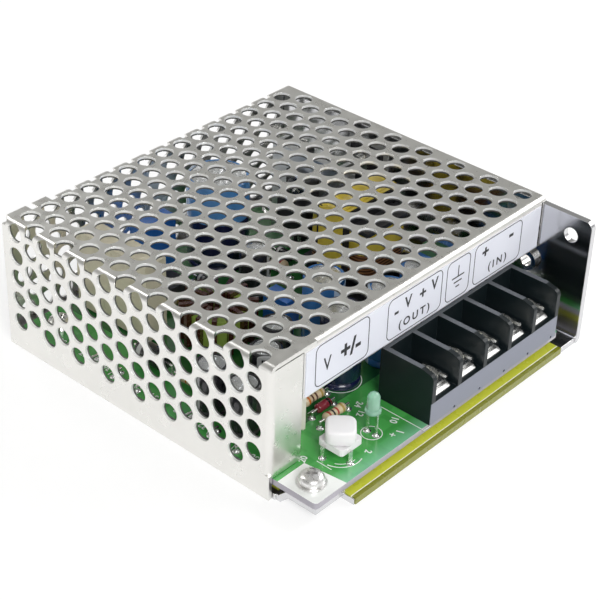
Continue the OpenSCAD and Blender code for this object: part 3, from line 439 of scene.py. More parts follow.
film = Finish("insulating_film", 0.3)
film.set(Coat_Weight=0.3)
film_y, film_low = film.axis("Y"), place_of("insulating_sheet")[0]
sheet = film.mottled((0.62, 0.66, 0.06), 0.06, 10.0)
# The film's front is painted: a near white line on the fold is a painted highlight, and the olive
# lip below it is painted shade.
sheet = film.mix(film.math("LESS_THAN", film_y, film_low.y + 1.35), sheet, (0.95, 0.95, 0.80))
sheet = film.mix(film.math("LESS_THAN", film_y, film_low.y + 1.1), sheet, (0.22, 0.23, 0.015))
film.paint(sheet)
film.uneven(0.2, 0.4, 4.0)
film.grain(1.5, 0.02)
dress(film.material, "insulating_sheet")
print("board dressed")

# %% [markdown]
# The terminal block is black moulded plastic. Its barriers stay dark. The front lip
# faces the white table and is painted a paler grey as a reflection of it, and the tops
# of the barriers get a painted highlight, so the colour changes by place. The metal in
# the ways is tin and nickel plate.

# %% Terminal block
block_low, block_high = place_of("terminal_block")
block = Finish("block_plastic", 0.4)
block.set(Specular_IOR_Level=0.3, Coat_Weight=0.12, Coat_Roughness=0.15)
block_y, block_z = block.axis("Y"), block.axis("Z")
# Painted reflection: the front face of the lip is painted paler grey, as the white table mirrored
# in it.
lip_painted_reflection = block.math("MULTIPLY", block.between(block_z, -1, 11.3),
                 block.math("LESS_THAN", block_y, block_low.y + 0.15))
body = block.mottled((0.006, 0.011, 0.013), 0.2, 3.0)
# Painted highlight: the very tops of the barriers are painted lighter grey.
crown_painted_highlight = block.math("GREATER_THAN", block_z, block_high.z - 0.06)
body = block.mix(crown_painted_highlight, body, (0.11, 0.12, 0.135))
block.paint(block.mix(lip_painted_reflection, body, (0.23, 0.245, 0.30)))
block.grain(0.5, 0.006, edge=0.15)
dress(block.material, "terminal_block")
contact_metal = simple_finish("contact_tin", (0.80, 0.80, 0.79), 0.24, 1.0, 0.03, 2.0, 0.6, 0.002)
dress(contact_metal, "terminal_contacts", *["terminal_clamp_%d" % i for i in range(1, 6)])
screw_metal = simple_finish("screw_nickel", (0.90, 0.89, 0.83), 0.24, 0.85, 0.06, 1.0, 0.5, 0.004)
dress(screw_metal, *["terminal_screw_%d" % i for i in range(1, 6)])
print("terminal block dressed")

# %% [markdown]
# The adhesive label is a pale bluish plastic. The components behind the mesh
# are seen only through the holes, yet each keeps the colour and gloss of its kind,
# except that the transformer's turns are darkened as painted shade.

# %% Label and components
dress(simple_finish("label_film", (0.72, 0.735, 0.81), 0.35, 0.0, 0.02, 10.0, 0.6, 0.004),
    "front_label")
white_plastic = simple_finish("white_plastic", (0.82, 0.81, 0.82), 0.35, 0.0, 0.008, 8.0, 0.5,
    0.002, Coat_Weight=0.15,
                              Subsurface_Weight=0.1, Subsurface_Radius=(0.001, 0.001, 0.001))
dress(white_plastic, "trimmer_knob", "trimmer_base", "optocoupler")
lens = simple_finish("lamp_resin", (0.46, 0.80, 0.62), 0.16, 0.0, 0.06, 1.5,
    Transmission_Weight=0.55,
                     IOR=1.5, Coat_Weight=0.4)
dress(lens, "lamp_lens")
wire_tin = simple_finish("wire_tin", (0.85, 0.85, 0.82), 0.2, 1.0, 0.06, 1.0, 0.2)
dress(wire_tin, "lamp_leads", "trimmer_legs", "chip_legs", "component_wires", "fuse_clips",
    "fuse_caps")
dress(simple_finish("ferrite", (0.018, 0.018, 0.020), 0.6, 0.0, 0.25, 1.0, 0.3, 0.02,
    Specular_IOR_Level=0.25), "transformer_core")
dress(simple_finish("bobbin_plastic", (0.03, 0.03, 0.035), 0.4, 0.0), "transformer_bobbin")
tape = simple_finish("yellow_tape", (0.80, 0.62, 0.08), 0.2, 0.0, 0.12, 3.0, 0.8, 0.02,
    Coat_Weight=0.5)
turns = Finish("wound_turns", 0.25)
turns.set(Coat_Weight=0.5)
turns_z = turns.axis("Z")
# The stripes are the turns of wire, and their dark browns are partly painted shade below the
# yellow tape.
wires = turns.math("LESS_THAN", turns.math("MODULO", turns_z, 0.9), 0.45)
wires = turns.mix(wires, (0.10, 0.045, 0.02), (0.30, 0.13, 0.05))
turns.paint(turns.mix(turns.math("GREATER_THAN", turns_z, 19.5), wires,
    turns.mottled((0.80, 0.62, 0.08), 0.12, 3.0)))
turns.grain(0.8, 0.02)
dress(turns.material, "transformer_winding")
dress(simple_finish("black_sleeve", (0.03, 0.03, 0.035), 0.22, Coat_Weight=0.4),
    "small_capacitors")
dress(simple_finish("navy_sleeve", (0.02, 0.025, 0.10), 0.2, Coat_Weight=0.5),
    "output_capacitor_1")
dress(simple_finish("blue_sleeve", (0.06, 0.22, 0.55), 0.2, Coat_Weight=0.5),
      "output_capacitor_2", "output_capacitor_3", "output_capacitor_4", "reservoir_capacitor")
dress(simple_finish("cream_box", (0.78, 0.72, 0.55), 0.3, Coat_Weight=0.2), "film_capacitor")
dress(simple_finish("blue_resin", (0.03, 0.16, 0.55), 0.18, Coat_Weight=0.5),
    "blue_film_capacitors", "disc_capacitors")
dress(simple_finish("green_ring", (0.38, 0.55, 0.10), 0.4), "choke_core")
dress(simple_finish("dark_ring", (0.03, 0.14, 0.06), 0.4), "filter_core")
dress(simple_finish("dark_enamel", (0.09, 0.03, 0.02), 0.25, 0.3, 0.15, 1.0, Coat_Weight=0.6),
    "choke_winding")
dress(simple_finish("blue_enamel", (0.05, 0.18, 0.50), 0.25, 0.2, 0.15, 1.0, Coat_Weight=0.6),
    "filter_winding")
dress(simple_finish("sink_metal", (0.74, 0.75, 0.76), 0.35, 1.0, 0.06, 4.0, 0.4, 0.01), "heatsink")
dress(simple_finish("package_resin", (0.03, 0.03, 0.033), 0.4, 0.0, 0.15, 1.0, 0.2, 0.01),
      "power_transistor", "rectifier", "control_chip")
dress(simple_finish("grey_pad", (0.42, 0.43, 0.43), 0.7), "rectifier_pad")
dress(simple_finish("fuse_glass", (0.85, 0.92, 0.92), 0.05, 0.0, 0.02, Transmission_Weight=0.9,
    IOR=1.45), "fuse_glass")
dress(simple_finish("tan_lacquer", (0.68, 0.50, 0.28), 0.3), "resistors")
dress(simple_finish("dark_red_glass", (0.28, 0.02, 0.03), 0.12, Coat_Weight=0.5), "diodes")
dress(simple_finish("cement", (0.78, 0.75, 0.66), 0.75, 0.0, 0.08, 1.0, 0.25, 0.03),
    "cement_resistor")
print("dressed", sum(1 for n in nodes.values() if n.data.materials), "of", len(nodes), "parts")

# %% [markdown]
# New pieces are modelled with Blender's own tools. Most small parts here are
# round, so they are drawn out like a pot on a wheel: a disc is extruded
# upwards and resized at each step. A curve with the Screw modifier would do the
# same, but the steps of a disc are easier to read as radius and height.

# %% Modelling helpers
def fresh():
    bpy.ops.object.select_all(action="DESELECT")


def choose_parts(piece, edges=None, faces=None):
    """Selects the edges or faces that a rule accepts, and goes into edit mode."""
    bpy.ops.object.mode_set(mode="EDIT")
    bpy.ops.mesh.select_mode(type="EDGE" if edges else "FACE")
    bpy.ops.mesh.select_all(action="DESELECT")
    bpy.ops.object.mode_set(mode="OBJECT")
    mesh = piece.data
    if edges:
        for edge in mesh.edges:
            edge.select = edges(*[mesh.vertices[v].co for v in edge.vertices])
    else:
        for face in mesh.polygons:
            face.select = faces(face.center, face.normal)
    bpy.ops.object.mode_set(mode="EDIT")


def turned(name, profile, sides=40):
    """A round piece about Z. The profile lists (radius, height) in mm, from below."""
    fresh()
    radius, height = profile[0]
    bpy.ops.mesh.primitive_circle_add(vertices=sides, radius=radius * MM, fill_type="NGON",
                                      location=(0, 0, height * MM))
    piece = bpy.context.object
    piece.name = name
    bpy.ops.object.transform_apply(location=True)
    bpy.ops.object.mode_set(mode="EDIT")
    bpy.ops.mesh.select_all(action="SELECT")
    for new_radius, new_height in profile[1:]:
        bpy.ops.mesh.extrude_region_move(TRANSFORM_OT_translate={"value": (0, 0,
            (new_height - height) * MM)})
        change = new_radius / radius
        bpy.ops.transform.resize(value=(change, change, 1),
            center_override=(0, 0, new_height * MM))
        radius, height = new_radius, new_height
    bpy.ops.mesh.select_all(action="SELECT")
    bpy.ops.mesh.normals_make_consistent(inside=False)
    bpy.ops.object.mode_set(mode="OBJECT")
    return piece


def stand(piece, where, turn=0.0, lay=None):
    """Moves a piece to its place. lay gives the heading of a piece that lies on its side."""
    fresh()
    piece.select_set(True)
    bpy.context.view_layer.objects.active = piece
    if lay is not None:
        piece.rotation_euler = (0, math.pi / 2, 0)
        bpy.ops.object.transform_apply(rotation=True)
        piece.rotation_euler = (0, 0, math.radians(lay))
    else:
        piece.rotation_euler = (0, 0, math.radians(turn))
    piece.location = where
    bpy.ops.object.transform_apply(location=True, rotation=True, scale=True)
    return piece


def fit_piece(piece, material, slot, *stands_for, body="case", smooth=35):
    """Shades a piece, gives it its finish and hangs it on its body."""
    fresh()
    piece.select_set(True)
    bpy.context.view_layer.objects.active = piece
    bpy.ops.object.transform_apply(location=True, rotation=True, scale=True)
    bpy.ops.object.shade_smooth_by_angle(angle=math.radians(smooth))
    if material is not None:
        piece.data.materials.clear()
        piece.data.materials.append(material)
    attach(piece, body)
    if stands_for:
        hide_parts(*stands_for)
    return piece


def joined(name, parts):
    """Makes one object of several."""
    fresh()
    for part in parts:
        part.select_set(True)
    bpy.context.view_layer.objects.active = parts[0]
    if len(parts) > 1:
        bpy.ops.object.join()
    parts[0].name = name
    return parts[0]


def cut(piece, tool):
    """Takes the tool's shape out of the piece."""
    fresh()
    piece.select_set(True)
    bpy.context.view_layer.objects.active = piece
    carve = piece.modifiers.new("carve", "BOOLEAN")
    carve.operation = "DIFFERENCE"
    carve.object = tool
    bpy.ops.object.modifier_apply(modifier=carve.name)
    bpy.data.objects.remove(tool, do_unlink=True)
    return piece


print("modelling helpers are ready")

# %% [markdown]
# The label is printed with outlined boxes and signs. Ink could be painted by the
# material, but rounded boxes and signs stay sharper as thin shapes: a plane gets
# rounded corners by a vertex bevel, is inset by the width of the line, loses
# its middle and is given a little thickness.

# %% Ink and thin shapes
ink = simple_finish("label_ink", (0.012, 0.012, 0.015), 0.4, 0.0, 0.1, 1.0, 0.2, 0.002)
label_low = place_of("front_label")[0]
INK_T = 0.03


def thicken(piece, amount):
    """Gives a flat shape its thickness with a Solidify modifier."""
    wall = piece.modifiers.new("thickness", "SOLIDIFY")
    wall.thickness = amount * MM
    wall.offset = 0
    bpy.context.view_layer.objects.active = piece
    bpy.ops.object.modifier_apply(modifier=wall.name)
    return piece


def upright(piece, x, z):
    """Stands a flat shape on the label's face."""
    fresh()
    piece.select_set(True)
    bpy.context.view_layer.objects.active = piece
    piece.rotation_euler = (math.pi / 2, 0, 0)
    piece.location = at(x, label_low.y - INK_T / 2, z)
    bpy.ops.object.transform_apply(location=True, rotation=True, scale=True)
    return piece


def outline_box(name, wide, high, corner, line):
    """A rounded outline, drawn flat about the origin."""
    fresh()
    bpy.ops.mesh.primitive_plane_add(size=1)
    piece = bpy.context.object
    piece.name = name
    piece.scale = (wide * MM, high * MM, 1)
    bpy.ops.object.transform_apply(scale=True)
    bpy.ops.object.mode_set(mode="EDIT")
    bpy.ops.mesh.select_all(action="SELECT")
    bpy.ops.mesh.bevel(offset=corner * MM, segments=6, affect="VERTICES")
    bpy.ops.mesh.select_mode(type="FACE")
    bpy.ops.mesh.select_all(action="SELECT")
    bpy.ops.mesh.inset(thickness=line * MM)
    bpy.ops.mesh.delete(type="FACE")
    bpy.ops.object.mode_set(mode="OBJECT")
    return thicken(piece, INK_T)


def bar(wide, high, x=0.0, y=0.0):
    """A short printed bar, drawn flat."""
    fresh()
    bpy.ops.mesh.primitive_plane_add(size=1)
    piece = bpy.context.object
    piece.scale = (wide * MM, high * MM, 1)
    piece.location = (x * MM, y * MM, 0)
    bpy.ops.object.transform_apply(location=True, scale=True)
    bpy.ops.object.mode_set(mode="EDIT")
    bpy.ops.mesh.select_all(action="SELECT")
    bpy.ops.mesh.subdivide(number_cuts=1)
    bpy.ops.object.mode_set(mode="OBJECT")
    return thicken(piece, INK_T)


def letters(text, size, weight=0.0, narrow=1.0, slant=0.0, apart=1.0):
    """Printed signs, drawn flat about the origin."""
    fresh()
    bpy.ops.object.text_add()
    piece = bpy.context.object
    piece.data.body = text
    piece.data.size = size * MM
    piece.data.offset = weight * MM
    piece.data.shear = slant
    piece.data.space_character = apart
    piece.data.align_x = "CENTER"
    piece.data.align_y = "CENTER"
    piece.data.extrude = INK_T * MM / 2
    piece.scale = (narrow, 1, 1)
    bpy.ops.object.convert(target="MESH")
    bpy.ops.object.transform_apply(scale=True)
    return piece


label_top, label_bottom = 33.4, 22.6
middle = (label_top + label_bottom) / 2
prints = []
for left, right in ((13.5, 31.1), (37.3, 56.7), (58.3, 67.1), (68.7, 87.3)):
    frame_line = outline_box("box", right - left, label_top - label_bottom, 1.7, 0.22)
    prints.append(upright(frame_line, (left + right) / 2, middle))
fit_piece(joined("label_boxes", prints), ink, "label_film")
print("label boxes:", len(prints))

# %% [markdown]
# The signs say what each pair of terminals is for: the adjustment, the output, the
# earth and the input. Signs that any such unit carries are enough. The earth
# sign is four bars.

# %% Signs on the label
prints = [
    upright(letters("V", 5.0, 0.03, 0.8), 17.4, middle - 0.7),
    upright(letters("+/-", 6.0, 0.18, 0.95), 25.0, middle - 0.3),
    upright(letters("-", 5.0, 0.10), 40.4, middle + 1.5),
    upright(letters("V", 4.3, 0.08, 0.9), 44.4, middle + 2.1),
    upright(letters("+", 4.3, 0.10), 49.6, middle + 1.9),
    upright(letters("V", 4.3, 0.08, 0.9), 53.8, middle + 2.4),
    upright(letters("(OUT)", 2.9, 0.06, 1.05, 0.0, 1.45), 47.0, middle - 2.9),
    upright(letters("+", 4.6, 0.12), 72.9, middle + 2.2),
    upright(letters("-", 6.0, 0.12), 83.0, middle + 3.0),
    upright(letters("(IN)", 2.9, 0.06, 1.05, 0.0, 1.5), 78.2, middle - 2.6),
]
earth = joined("earth", [bar(0.32, 3.0, 0, 1.9), bar(4.6, 0.36, 0, 0.4), bar(3.0, 0.36, 0, -0.9),
                         bar(1.4, 0.36, 0, -2.2)])
prints.append(upright(earth, 62.7, middle))
fit_piece(joined("label_signs", prints), ink, "label_film", smooth=10)
print("signs on the label:", len(prints))

# %% [markdown]
# Screen printing on the board is white: outlines of the parts, the trimmer's scale
# arcs and small numbers. Each is a thin shape lying on the lacquer. A row of part
# marks runs up the left edge, where the side holes look down on the board.

# %% Printing on the board
silk = simple_finish("board_print", (0.82, 0.87, 0.84), 0.5, 0.0, 0.1, 0.6, 0.2, 0.004)


def flat(piece, x, y, turn=0.0):
    """Lays a flat shape on the board's top."""
    return stand(piece, at(x, y, board_top + INK_T / 2), turn)


def ring(radius, line, start=None, end=None):
    """A printed circle, or the part of it between two headings in degrees."""
    fresh()
    bpy.ops.mesh.primitive_circle_add(vertices=56, radius=radius * MM, fill_type="NGON")
    piece = bpy.context.object
    bpy.ops.object.mode_set(mode="EDIT")
    bpy.ops.mesh.select_all(action="SELECT")
    bpy.ops.mesh.inset(thickness=line * MM)
    bpy.ops.mesh.delete(type="FACE")
    if start is not None:
        for heading, side in ((start, -1), (end, 1)):
            a = math.radians(heading)
            bpy.ops.mesh.select_all(action="SELECT")
            bpy.ops.mesh.bisect(plane_co=(0, 0, 0), clear_outer=True,
                                plane_no=(-side * math.sin(a), side * math.cos(a), 0))
    bpy.ops.object.mode_set(mode="OBJECT")
    return thicken(piece, INK_T)


trimmer_low, trimmer_high = place_of("trimmer_base")
trimmer = (trimmer_low + trimmer_high) / 2
lamp_low, lamp_high = place_of("lamp_lens")
lamp = (lamp_low + lamp_high) / 2
first_can = sum(place_of("output_capacitor_1"), Vector()) / 2
prints = [
    flat(ring(5.3, 0.25, 190, 290), trimmer.x, trimmer.y),
    flat(ring(4.2, 0.2, 205, 275), trimmer.x, trimmer.y),
    flat(ring(5.4, 0.2), first_can.x, first_can.y),
    flat(ring(2.5, 0.2), lamp.x, lamp.y),
    flat(bar(0.2, 12.6), block_low.x - 2.2, 7.4),
    flat(bar(2.2, 0.2), block_low.x - 1.1, 1.35),
    flat(letters("1", 2.6, 0.04), 32.6, 5.0, 200),
    flat(letters("+", 2.6, 0.04), 30.6, 5.6, 200),
    flat(letters("10", 2.4, 0.04), 35.0, 8.6, 200),
    flat(letters("2", 2.2, 0.04), 22.4, 5.6, 200),
    flat(letters("20", 2.2, 0.04), 10.6, 14.0, 20),
    flat(letters("3", 2.2, 0.04), 8.4, 15.6, 20),
    flat(letters("24", 2.2, 0.04), 33.8, 18.0, 200),
    flat(letters("12", 2.2, 0.04), 31.6, 15.6, 200),
    flat(bar(6.6, 0.18), 26.2, 20.3),
    flat(bar(6.6, 0.18), 26.6, 24.0),
    flat(bar(0.2, 4.2), 12.2, 9.4),
]
# Wire links stand in one row along the left edge, at this even spacing
LINK_X = 3.6
LINK_ROWS = [18.5 + 7.8 * row for row in range(9)]
for row, y in enumerate(LINK_ROWS):
    prints.append(flat(bar(2.8, 0.2), LINK_X, y + 1.6, 12 * (row % 3)))
    prints.append(flat(letters(str(30 + row), 2.2, 0.04), 3.8, y + 3.6, 90))
fit_piece(joined("board_print", prints), silk, "board_green", smooth=10)
print("printed shapes on the board:", len(prints))

# %% [markdown]
# Every wire ends in a small cone of solder. One cone is turned, with a hollow flank
# that rises to the wire, and is copied to each foot.

# %% Solder cones
solder = simple_finish("solder", (0.86, 0.87, 0.87), 0.2, 1.0, 0.08, 0.8, 0.3, 0.02)
lead_y = 1.27
feet = [(lamp.x, lamp.y - lead_y), (lamp.x, lamp.y + lead_y), (trimmer.x - 4.1, trimmer.y + 1.4),
        (trimmer.x - 1.3, trimmer.y - 4.1), (trimmer.x + 3.7, trimmer.y + 3.7)]
AXIAL = {"resistor": [(27.0, 25.8, 0, 6.4, 2.4), (26.1, 18.6, 0, 6.4, 2.4),
    (30.6, 76.0, 0, 6.4, 2.4),
                      (57.5, 38.0, 0, 6.4, 2.4), (62.0, 70.5, 90, 9.0, 3.4),
                      (12.0, 50.0, 90, 6.4, 2.4)],
         "diode": [(26.4, 22.2, 0, 4.2, 2.2), (44.0, 76.5, 90, 5.0, 2.7),
         (67.0, 71.0, 90, 5.0, 2.7),
                   (12.0, 62.0, 90, 9.0, 5.0)]}
for x, y, heading, long, thick in AXIAL["resistor"] + AXIAL["diode"]:
    reach = long / 2 + 1.6
    a = math.radians(heading)
    feet += [(x + s * reach * math.cos(a), y + s * reach * math.sin(a)) for s in (-1, 1)]
feet += [(2.5 + 2.2 * side, y) for y in LINK_ROWS for side in (0, 1)]
cones = [stand(turned("cone", [(0.95, 0), (0.92, 0.06), (0.66, 0.2), (0.46, 0.42), (0.36, 0.7),
    (0.2, 0.8)], 16),
               at(x, y, board_top)) for x, y in feet]
fit_piece(joined("solder_cones", cones), solder, "tinned_wire")
print("solder cones:", len(feet))

# %% [markdown]
# Wire links bridge the tracks along the left edge. One link is a thin bar whose
# two ends are extruded down to the board.

# %% Wire links
links = []
for y in LINK_ROWS:
    bpy.ops.mesh.primitive_cube_add(size=1)
    link_wire = bpy.context.object
    link_wire.scale = (2.8 * MM, 0.6 * MM, 0.6 * MM)
    bpy.ops.object.transform_apply(scale=True)
    bpy.ops.object.mode_set(mode="EDIT")
    bpy.ops.mesh.bisect(plane_co=(-0.8 * MM, 0, 0), plane_no=(1, 0, 0))
    bpy.ops.mesh.select_all(action="SELECT")
    bpy.ops.mesh.bisect(plane_co=(0.8 * MM, 0, 0), plane_no=(1, 0, 0))
    bpy.ops.object.mode_set(mode="OBJECT")
    choose_parts(
        link_wire,
        faces=lambda centre, normal: normal.z < -0.5 and abs(centre.x) > 0.8 * MM,
    )
    bpy.ops.mesh.extrude_region_move(TRANSFORM_OT_translate={"value": (0, 0, -0.95 * MM)})
    bpy.ops.object.mode_set(mode="OBJECT")
    soften = link_wire.modifiers.new("round wire", "BEVEL")
    soften.width = 0.2 * MM
    soften.segments = 3
    bpy.ops.object.modifier_apply(modifier=soften.name)
    links.append(stand(link_wire, at(LINK_X, y, board_top + 1.2)))
fit_piece(joined("wire_links", links), wire_tin, "tinned_wire", smooth=50)
print("wire links:", len(links))

# %% [markdown]
# A pan-head screw is turned in one go, from the thread's tip to the domed head. The
# thread is a row of ridges, which reads as a helix at this size. Two tapered
# bars are then cut out of the head for the cross recess.

# %% Screws
def pan_screw(name, head_d, head_h, shank, washer_d=0.0, washer_t=0.0):
    """A screw whose head, or washer, sits at height zero."""
    r = head_d / 2
    ridges = int(shank / 0.5)
    profile = [(1.1, -shank)]
    for i in range(ridges):
        z = -shank + 0.5 * i
        profile += [(1.46, z + 0.22), (1.22, z + 0.44)]
    profile += [(1.3, -0.02)]
    if washer_t:
        w = washer_d / 2
        profile += [(w - 0.1, 0.0), (w, 0.1), (w, washer_t - 0.15), (w - 0.12, washer_t),
            (r - 0.05, washer_t)]
    z = washer_t
    profile += [(r - 0.12, z + 0.0), (r, z + 0.12), (r, z + head_h * 0.35),
        (r * 0.96, z + head_h * 0.55),
                (r * 0.86, z + head_h * 0.74), (r * 0.68, z + head_h * 0.89),
                (r * 0.42, z + head_h * 0.98),
                (r * 0.1, z + head_h)]
    piece = turned(name, profile, 44)
    tools = []
    for heading in (0, 90):
        bpy.ops.mesh.primitive_cube_add(size=1)
        tool = bpy.context.object
        tool.scale = (head_d * 0.56 * MM, 0.72 * MM, head_h * 1.2 * MM)
        bpy.ops.object.transform_apply(scale=True)
        choose_parts(tool, faces=lambda centre, normal: normal.z < -0.5)
        bpy.ops.transform.resize(value=(0.5, 0.7, 1))
        bpy.ops.object.mode_set(mode="OBJECT")
        tools.append(stand(tool, (0, 0, (washer_t + head_h * 0.98) * MM), heading))
    for tool in tools:
        cut(piece, tool)
    return piece


seat = place_of("corner_screw")
middle_of = (seat[0] + seat[1]) / 2
corner = pan_screw("corner_pan_screw", 5.8, 2.1, 3.6, 6.8, 0.6)
stand(corner, at(middle_of.x, middle_of.y, board_top), 40)
worn = simple_finish("worn_plating", (0.80, 0.79, 0.78), 0.3, 0.9, 0.2, 0.6, 0.35, 0.03)
fit_piece(corner, worn, "bright_screw", "corner_screw")
for i in range(1, 6):
    low_i, high_i = place_of("terminal_screw_%d" % i)
    piece = pan_screw("terminal_pan_screw_%d" % i, 5.4, 1.8, 5.4)
    stand(piece, at((low_i.x + high_i.x) / 2, (low_i.y + high_i.y) / 2, high_i.z - 1.8), 25 * i)
    fit_piece(piece, screw_metal, "bright_screw", "terminal_screw_%d" % i,
        body="terminal_screw_%d" % i)
print("screws turned: 6")

# %% [markdown]
# The trimmer's knob is a moulded block with large corner radii and a soft top
# edge. A cube is bevelled twice: first its upright edges, then the top rim.

# %% Trimmer knob
knob_high = place_of("trimmer_knob")[1]
knob_across, knob_bottom = 6.8, trimmer_high.z + 0.15
bpy.ops.mesh.primitive_cube_add(size=1)
knob = bpy.context.object
knob.name = "moulded_knob"
knob.scale = (knob_across * MM, knob_across * MM, (knob_high.z - knob_bottom) * MM)
bpy.ops.object.transform_apply(scale=True)
choose_parts(knob, edges=lambda a, b: abs(a.z - b.z) > 0.001)
bpy.ops.mesh.bevel(offset=1.9 * MM, segments=8)
bpy.ops.object.mode_set(mode="OBJECT")
top = max(v.co.z for v in knob.data.vertices)
choose_parts(knob, edges=lambda a, b: min(a.z, b.z) > top - 0.00001)
bpy.ops.mesh.bevel(offset=0.75 * MM, segments=5)
bpy.ops.object.mode_set(mode="OBJECT")
bottom = min(v.co.z for v in knob.data.vertices)
choose_parts(knob, edges=lambda a, b: max(a.z, b.z) < bottom + 0.00001)
bpy.ops.mesh.bevel(offset=0.2 * MM, segments=2)
bpy.ops.object.mode_set(mode="OBJECT")
stand(knob, at(trimmer.x, trimmer.y, (knob_bottom + knob_high.z) / 2), 41)
fit_piece(knob, white_plastic, "white_plastic", "trimmer_knob", body="trimmer_knob", smooth=50)
print("knob is", round(knob_high.z - knob_bottom, 2), "mm high")

# %% [markdown]
# The lamp is cast resin with a domed top and a thin collar. Inside it, the two
# leads end in a small cup and a post, which show as darker shapes in the resin.

# %% Lamp
r = 1.5
dome = [(r * math.cos(a), lamp_high.z - r + r * math.sin(a)) for a in
        [math.radians(d) for d in (12, 26, 40, 54, 68, 80, 87)]]
lens_profile = [(1.5, lamp_low.z), (1.78, lamp_low.z + 0.02), (1.9, lamp_low.z + 0.15),
                (1.9, lamp_low.z + 0.95), (1.78, lamp_low.z + 1.15), (1.52, lamp_low.z + 1.2),
                (1.5, lamp_low.z + 1.4), (1.5, lamp_high.z - r)] + dome
lens_piece = stand(turned("lamp_resin_lens", lens_profile, 48), at(lamp.x, lamp.y))
fit_piece(lens_piece, lens, "mint_lens", "lamp_lens", smooth=50)
cup = turned("cup", [(0.3, 0), (0.35, 1.2), (0.62, 1.7), (0.62, 2.0), (0.4, 2.0), (0.2, 1.75)], 20)
post = turned("post", [(0.28, 0), (0.28, 2.1), (0.2, 2.2)], 12)
stand(cup, at(lamp.x, lamp.y - 0.65, lamp_low.z + 0.6))
stand(post, at(lamp.x, lamp.y + 0.6, lamp_low.z + 0.6))
fit_piece(joined("lamp_cup", [cup, post]), wire_tin, "tinned_wire")
print("lamp stands", round(lamp_low.z - board_top, 2), "mm above the board")

# %% [markdown]
# Axial resistors are bone shaped, because the lacquer is thick over the end caps,
# and carry colour rings. A colour ramp laid along the axis gives the rings. The
# diodes are plain rods with one ring.

# %% Resistors and diodes
def ringed(name, centre, heading, long, body, rings, rough=0.28):
    """Lacquer with colour rings; rings lists (start, end, colour) as shares of the length."""
    made = Finish(name, rough)
    made.set(Coat_Weight=0.5, Coat_Roughness=0.1)
    a = math.radians(heading)
    along = made.node("ShaderNodeVectorMath", operation="DOT_PRODUCT")
    along.inputs[1].default_value = (math.cos(a), math.sin(a), 0)
    made.join(made.place, along.inputs[0])
    start = centre.x * math.cos(a) + centre.y * math.sin(a) - long * MM / 2
    share = made.node("ShaderNodeMapRange")
    share.inputs["From Min"].default_value = start
    share.inputs["From Max"].default_value = start + long * MM
    made.join(along.outputs["Value"], share.inputs["Value"])
    ramp = made.node("ShaderNodeValToRGB")
    ramp.color_ramp.interpolation = "CONSTANT"
    ramp.color_ramp.elements[0].color = (*body, 1)
    ramp.color_ramp.elements.remove(ramp.color_ramp.elements[1])
    for low_end, high_end, colour in rings:
        ramp.color_ramp.elements.new(low_end).color = (*colour, 1)
        ramp.color_ramp.elements.new(high_end).color = (*body, 1)
    made.join(share.outputs[0], ramp.inputs["Fac"])
    shade = made.node("ShaderNodeMix", data_type="RGBA", blend_type="MULTIPLY")
    shade.inputs[0].default_value = 1.0
    made.join(ramp.outputs["Color"], shade.inputs[6])
    made.join(made.mottled((0.93, 0.93, 0.93), 0.07, 0.6), shade.inputs[7])
    made.paint(shade.outputs[2])
    made.grain(0.3, 0.004)
    return made.material


BROWN, RED, ORANGE, GOLD, BLACK = (0.10, 0.03, 0.015), (0.45, 0.03, 0.02), (0.65, 0.17,
    0.02), (0.45, 0.30, 0.08), (0.01, 0.01, 0.01)
TAN = (0.72, 0.58, 0.38)
for number, (x, y, heading, long, thick) in enumerate(AXIAL["resistor"], 1):
    r, h = thick / 2, long
    bone = turned("bone", [(r * 0.35, -h * 0.5), (r * 0.8, -h * 0.485), (r * 0.98, -h * 0.43), (r,
        -h * 0.36),
                           (r * 0.97, -h * 0.29), (r * 0.86, -h * 0.23), (r * 0.84, 0),
                           (r * 0.86, h * 0.23),
                           (r * 0.97, h * 0.29), (r, h * 0.36), (r * 0.98, h * 0.43),
                           (r * 0.8, h * 0.485),
                           (r * 0.35, h * 0.5)], 28)
    where = at(x, y, board_top + thick / 2 + 0.5)
    stand(bone, where, lay=heading)
    bone.name = "resistor_%d" % number
    rings = [(0.12, 0.21, (BROWN, ORANGE, RED)[number % 3]),
        (0.33, 0.41, (RED, BROWN, BLACK)[number % 3]),
             (0.52, 0.60, (ORANGE, BROWN, RED)[number % 3]), (0.77, 0.86, GOLD)]
    lacquer = ringed("resistor_lacquer_%d" % number, where, heading, long, TAN, rings)
    fit_piece(bone, lacquer, "tan_body", *(["resistors"] if number == 1 else []), smooth=50)
for number, (x, y, heading, long, thick) in enumerate(AXIAL["diode"], 1):
    r, h = thick / 2, long
    rod = turned("rod", [(r * 0.4, -h * 0.5), (r * 0.85, -h * 0.48), (r, -h * 0.42), (r, 0), (r,
        h * 0.42),
                         (r * 0.85, h * 0.48), (r * 0.4, h * 0.5)], 28)
    where = at(x, y, board_top + thick / 2 + 0.5)
    stand(rod, where, lay=heading)
    rod.name = "diode_%d" % number
    coat = (0.22, 0.02, 0.035) if number == 1 else (0.02, 0.02, 0.022)
    mark = BLACK if number == 1 else (0.7, 0.7, 0.7)
    glass = ringed("diode_coat_%d" % number, where, heading, long, coat, [(0.72, 0.86, mark)],
        0.12)
    fit_piece(rod, glass, "red_body" if number == 1 else "package_black",
              *(["diodes"] if number == 1 else []), smooth=50)
print("axial parts:", sum(len(v) for v in AXIAL.values()))

# %% [markdown]
# Electrolytic capacitors are aluminium cans in a shrunk plastic sleeve. The sleeve
# rolls over the rim and leaves a bare disc with a scored vent, and a paler stripe
# with short bars marks the negative lead. One finish paints all three by place, and
# on the reservoir can it also paints the lower part of the sleeve near black as
# painted shade.

